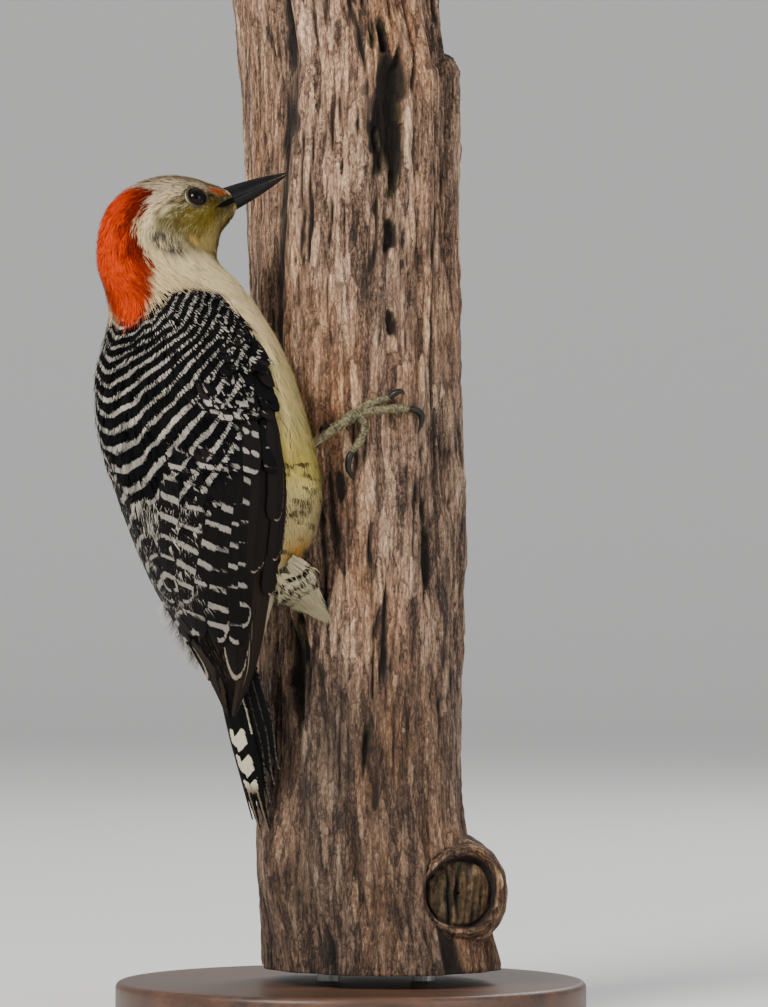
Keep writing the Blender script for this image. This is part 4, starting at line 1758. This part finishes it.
def paint_flank(along, across, share, luck):
    ground = VENT_WHITE * (0.5 + 0.34 * share + 0.2 * luck)[..., None]
    bend = along - 0.5 * np.abs(across - 1.5)
    bars = np.maximum(1.1 - np.abs(bend - 8.6), 1.0 - np.abs(bend - 12.6))
    bars = np.maximum(bars, 1.1 - np.abs(bend - 4.6)) * 0.6 - 0.25 * np.abs(luck)
    return ground, shade(24, 21, 17), bars


for label, side in (("right", 1), ("left", -1)):
    root = bird_point(FLANK_ROOT[0], side * FLANK_ROOT[1], FLANK_ROOT[2])
    tip = on_perch(foot_azimuth(FLANK_TIP[0], side), FLANK_TIP[1], 2.0)
    root = root + (root - tip) * 0.18
    reach = np.linalg.norm(tip - root)
    ahead = (tip - root) / reach
    wood = np.array((*perch_station(root[2])[:2], root[2]))
    outward = (root + tip) / 2 - wood
    outward = outward - ahead * (outward @ ahead)
    outward = outward / np.linalg.norm(outward)
    aside = np.cross(outward, ahead)
    count = 190
    start_along = reach * (0.66 * rng.random(count) ** 1.2)
    start_across = rng.uniform(-1, 1, count) * (7.4 - 5.0 * (start_along / reach) ** 1.3)
    layer = rng.uniform(-1, 1, count)

    def on_flank(along, across, lift):
        far = start_along[:, None, None] + along
        closing = 1 - 0.75 * smooth(0.3, 1.0, far / reach)
        wide = start_across[:, None, None] * closing + across * (0.4 + 0.6 * closing)
        high = lift + (2.2 * layer[:, None, None] + 1.2) * (1 - smooth(0.2, 1.05, far / reach))
        high = high - 0.05 * wide**2
        points = root + ahead * far[..., None] + aside * wide[..., None] + outward * high[..., None]
        return points, far, wide

    length = np.minimum(rng.uniform(11, 16, count), 1.06 * reach - start_along)
    batch = locks(
        rng, on_flank, on_coat_map(17.3 + start_along / 13, side * (120 + 3 * start_across)), length,
        0.17 * length, 10, 0.32, np.full(count, 0.8), 0.5, paint_flank, 6
    )
    coat_piece(f"flank_plumage_{label}", [batch], soft_plumage, "belly_feathers", f"flank_{label}")


# ---- Legs, toes and claws -----------------------------------------------------------------
# Bare grey-olive legs in small overlapping plates, with pads under the toes: two toes forward,
# one out to the side and a small one behind. The claws are hooked black horn.
ANKLE = (40.0, 20.5, 182.0)
FOOT = (92.7, 194.6)
TOES = {
    "inner": ((97.5, 196.9), (104.0, 198.4), (110.5, 199.9)),
    "middle": ((101.0, 195.4), (110.5, 196.0), (119.5, 196.1)),
    "outer": ((96.5, 191.0), (95.0, 186.8), (89.5, 181.8)),
    "hind": ((87.5, 192.4), (83.0, 191.0), (79.0, 190.2)),
}
TOE_RADIUS = {"inner": 1.25, "middle": 1.45, "outer": 1.35, "hind": 1.0}
CLAWS = {
    "inner": ((114.5, 202.0), (117.5, 200.6)),
    "middle": ((127.0, 194.6), (124.5, 188.2)),
    "outer": ((87.6, 177.4), (91.0, 173.4)),
    "hind": ((76.4, 190.2), (75.0, 188.0)),
}
CLAW_ARCH, TOE_GAP = 2.6, 0.35

scaly, tree, shader = material("scaly foot", 0.55)
plate = node(tree, "Attribute", attribute_name="seam").outputs["Fac"]
cells = node(tree, "TexVoronoi", {0: node(tree, "TexCoord").outputs["Object"], "Scale": 1500.0},
             feature="DISTANCE_TO_EDGE").outputs["Distance"]
grime = stretched_noise(tree, (1.0, 1.0, 1.0), 900.0, detail=5.0, roughness=0.7)
skin_tone = mixed(tree, spread_over(tree, grime, 0.36, 0.66), rgba(shade(40, 35, 22)),
                  rgba(shade(158, 146, 102)))
seams = sums(tree, "MAXIMUM", plate, sums(tree, "MULTIPLY", spread_over(tree, cells, 0.12, 0.0), 0.6), True)
wire(tree, shader, mixed(tree, sums(tree, "MULTIPLY", seams, 0.8), skin_tone, rgba(shade(28, 26, 18))),
     None, sums(tree, "SUBTRACT", 1.0, seams), 0.00015)

claw_horn, tree, shader = material("claw horn", 0.4, Specular_IOR_Level=0.35)
streaks = stretched_noise(tree, (1.0, 1.0, 1.0), 900.0, detail=4.0)
wire(tree, shader, mixed(tree, streaks, rgba(shade(8, 7, 5)), rgba(shade(38, 33, 24))),
     spread_over(tree, streaks, -0.8, 2.4), streaks, 0.00008)


def limb(path, radii, rows, around, off_wood, relief):
    """A round limb along a smooth path; relief(share, turn, arc) gives its radius a share more."""
    last = len(path) - 1
    centres = through(np.array(path), np.linspace(0, last, rows))
    radius = through(np.array(radii)[:, None], np.linspace(0, len(radii) - 1, rows))[..., 0]
    along = np.gradient(centres, axis=0)
    arc = np.concatenate([[0.0], np.cumsum(np.linalg.norm(np.diff(centres, axis=0), axis=-1))])
    along = along / np.linalg.norm(along, axis=-1, keepdims=True)
    aside = np.cross(along, off_wood)
    aside = aside / np.linalg.norm(aside, axis=-1, keepdims=True)
    up = np.cross(aside, along)
    turn = np.arange(around) * math.tau / around
    share, T = np.meshgrid(np.linspace(0, 1, rows), turn, indexing="ij")
    wide = radius[:, None] * (1 + relief(share, T, arc[:, None] + 0 * T))
    points = centres[:, None] + (
        aside[:, None] * np.cos(T)[..., None] + up[:, None] * np.sin(T)[..., None]
    ) * wide[..., None]
    return points, share, T, arc


def plated(share, turn, arc):
    """Overlapping plates over the top and soft pads beneath."""
    plates = (arc / 0.95) % 1.0
    top = smooth(-0.2, 0.5, np.sin(turn))
    pads = 0.10 * np.cos(arc / 2.6 * math.tau) * smooth(0.2, 0.9, -np.sin(turn))
    return 0.06 + 0.16 * (plates - 0.5) * top + pads


def claw_form(share, turn, arc):
    """A claw is deeper than wide, with a groove beneath."""
    return -0.18 * np.cos(turn) ** 2 - 0.2 * hill(turn, 1.5 * math.pi, 0.4)


for label, side in (("right", 1), ("left", -1)):
    points, faces, seams, start = [], [], [], 0
    ankle = bird_point(ANKLE[0], side * ANKLE[1], ANKLE[2])
    foot = on_perch(foot_azimuth(FOOT[0], side), FOOT[1], TOE_RADIUS["middle"] + TOE_GAP + 0.5)
    off_wood = np.array((-math.cos(math.radians(foot_azimuth(FOOT[0], side))),
                         -math.sin(math.radians(foot_azimuth(FOOT[0], side))), 0.0))
    limbs = [([ankle, (ankle + foot) / 2 + off_wood * 0.4, foot], [1.7, 1.5, 1.35, 1.35, 1.5, 1.85, 1.6], 96)]
    toe_paths = {}
    for toe, places in TOES.items():
        radius = TOE_RADIUS[toe]
        knuckles = [on_perch(foot_azimuth(a, side), up, radius + TOE_GAP + 0.15) for a, up in places]
        path = [foot * 0.9 + knuckles[0] * 0.1] + knuckles
        toe_paths[toe] = path
        limbs.append((path, [radius * k for k in (1.0, 1.1, 0.92, 1.04, 0.88, 0.98, 0.74, 0.55)], 84))
    for path, radii, rows in limbs:
        made, share, T, arc = limb(path, radii, rows, 24, off_wood, plated)
        points += [made.reshape(-1, 3), made[:1].mean(1), made[-1:].mean(1)]
        body = grid_triangles(rows, 24, True)
        ring = np.arange(24)
        end = rows * 24
        caps = np.concatenate([
            np.stack([np.full(24, end), ring, (ring + 1) % 24], -1),
            np.stack([np.full(24, end + 1), end - 24 + (ring + 1) % 24, end - 24 + ring], -1),
        ])
        faces.append(np.concatenate([body, caps]) + start)
        plates = (arc[:, None] / 0.95 + 0 * T) % 1.0
        seam = smooth(0.80, 0.97, plates) * smooth(-0.3, 0.3, np.sin(T))
        seams += [seam.ravel(), np.zeros(2)]
        start += end + 2
    # the thigh's last feathers, which close round the ankle
    down_leg = (foot - ankle) / np.linalg.norm(foot - ankle)
    beside = np.cross(down_leg, off_wood)
    beside = beside / np.linalg.norm(beside)
    over = np.cross(beside, down_leg)
    count = 46
    start_turn = rng.uniform(0, math.tau, count)
    start_down = rng.uniform(-4.0, 4.0, count)

    def round_ankle(along, across, lift):
        down = start_down[:, None, None] + along
        angle = start_turn[:, None, None] + across / 2.2
        wide = 1.5 + 0.9 * smooth(9.0, -1.0, down) + 0.4 * lift
        points = ankle + down_leg * down[..., None] + wide[..., None] * (
            beside * np.cos(angle)[..., None] + over * np.sin(angle)[..., None])
        return points, down, angle

    def paint_ankle(down, angle, share, luck):
        ground = blend(BELLY_GREY, FACE_DARK, smooth(-0.2, 0.6, luck)) * (0.5 + 0.4 * share)[..., None]
        return ground, FEATHER_BLACK, np.full(share.shape, -1.0)

    batch = locks(
        rng, round_ankle, on_coat_map(15.5 + start_down / 13, side * (130 + 3 * start_turn)),
        rng.uniform(4.5, 6.5, count), np.full(count, 0.9), 9, 0.34, np.full(count, 0.4), 0.3,
        paint_ankle, 5
    )
    coat_piece(f"ankle_plumage_{label}", [batch], soft_plumage, "belly_feathers")
    leg = joined_mesh(f"scaly_leg_{label}", np.concatenate(points), np.concatenate(faces))
    attribute(leg, "seam", np.concatenate(seams))
    leg.data.materials.append(scaly)
    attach(leg, "root")
    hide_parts(f"foot_{label}")

    for toe, path in toe_paths.items():
        along = (path[-1] - path[-2]) / np.linalg.norm(path[-1] - path[-2])
        bend, tip = (
            on_perch(foot_azimuth(azimuth, side), up, lift)
            for (azimuth, up), lift in zip(CLAWS[toe], (CLAW_ARCH, TOE_GAP + 0.45))
        )
        radii = [TOE_RADIUS[toe] * k for k in (0.80, 0.98, 0.98, 0.88, 0.70, 0.46, 0.12)]
        away = bend - np.array((*perch_station(bend[2])[:2], bend[2]))
        start_at = path[-1] - along * 0.6
        pulled = bend + 0.55 * (bend - (start_at + tip) / 2)
        curve = [start_at * (1 - t) ** 2 + pulled * 2 * t * (1 - t) + tip * t**2
                 for t in np.linspace(0, 1, 7)]
        made, share, T, arc = limb(curve, radii, 40, 16, away, claw_form)
        ring = np.arange(16)
        end = 40 * 16
        caps = np.concatenate([
            np.stack([np.full(16, end), ring, (ring + 1) % 16], -1),
            np.stack([np.full(16, end + 1), end - 16 + (ring + 1) % 16, end - 16 + ring], -1),
        ])
        claw = joined_mesh(
            f"claw_{toe}_{label}_horn",
            np.concatenate([made.reshape(-1, 3), made[:1].mean(1), made[-1:].mean(1)]),
            np.concatenate([grid_triangles(40, 16, True), caps]),
        )
        claw.data.materials.append(claw_horn)
        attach(claw, "root")
        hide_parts(f"claw_{toe}_{label}")


# ---- Floor, light and camera --------------------------------------------------------------
# A pale sweep of studio paper under the stand, two large soft lights and a pale room.
paper, tree, shader = material("pale paper", 0.9)
tooth = stretched_noise(tree, (1.0, 1.0, 1.0), 220.0)
wire(tree, shader, mixed(tree, tooth, rgba(shade(226, 225, 222)), rgba(shade(232, 231, 229))), None,
     tooth, 0.0002)
sweep = [(-9.0, 0.0), (2.6, 0.0)]
sweep += [(2.6 + 1.4 * math.sin(a), 1.4 * (1 - math.cos(a))) for a in np.linspace(0.1, math.pi / 2, 12)]
sweep += [(4.0, 5.0)]
rows = np.array([[(x, y, z) for x in np.linspace(-9, 9, 3)] for y, z in sweep]) / MM
floor = joined_mesh("studio_floor", rows, grid_triangles(len(sweep), 3)[:, ::-1])
floor.data.materials.append(paper)


def soft_light(name, place, aim, size, power, colour=(1.0, 1.0, 1.0)):
    lamp = bpy.data.lights.new(name, "AREA")
    lamp.shape, lamp.size, lamp.energy, lamp.color = "DISK", size, power, colour
    made = bpy.data.objects.new(name, lamp)
    made.location = place
    made.rotation_euler = (Vector(aim) - Vector(place)).to_track_quat("-Z", "Y").to_euler()
    bpy.context.scene.collection.objects.link(made)


aim = (0.0, -0.02, 0.18)
soft_light("key", (-0.9, -1.3, 1.3), aim, 0.8, 44.0, (1.0, 0.98, 0.95))
soft_light("fill", (1.5, -1.2, 0.6), aim, 1.2, 11.0, (0.95, 0.97, 1.0))
soft_light("back", (0.6, 1.2, 1.1), aim, 0.8, 10.0)
world = bpy.data.worlds.new("pale room")
world.use_nodes = True
world.node_tree.nodes["Background"].inputs["Color"].default_value = (0.9, 0.92, 0.95, 1.0)
world.node_tree.nodes["Background"].inputs["Strength"].default_value = 0.55
bpy.context.scene.world = world

VIEW_MIDDLE = (0.0107, 0.166)
VIEW_HEIGHT, BIRD_Y, DISTANCE = 0.3172, -0.050, 2.0
camera = bpy.data.cameras.new("camera")
camera.sensor_fit = "VERTICAL"
camera.sensor_height = 36.0
camera.lens = camera.sensor_height * DISTANCE / VIEW_HEIGHT
seen_from = bpy.data.objects.new("camera", camera)
seen_from.location = (VIEW_MIDDLE[0], BIRD_Y - DISTANCE, VIEW_MIDDLE[1])
seen_from.rotation_euler = (math.pi / 2, 0.0, 0.0)
bpy.context.scene.collection.objects.link(seen_from)
bpy.context.scene.camera = seen_from
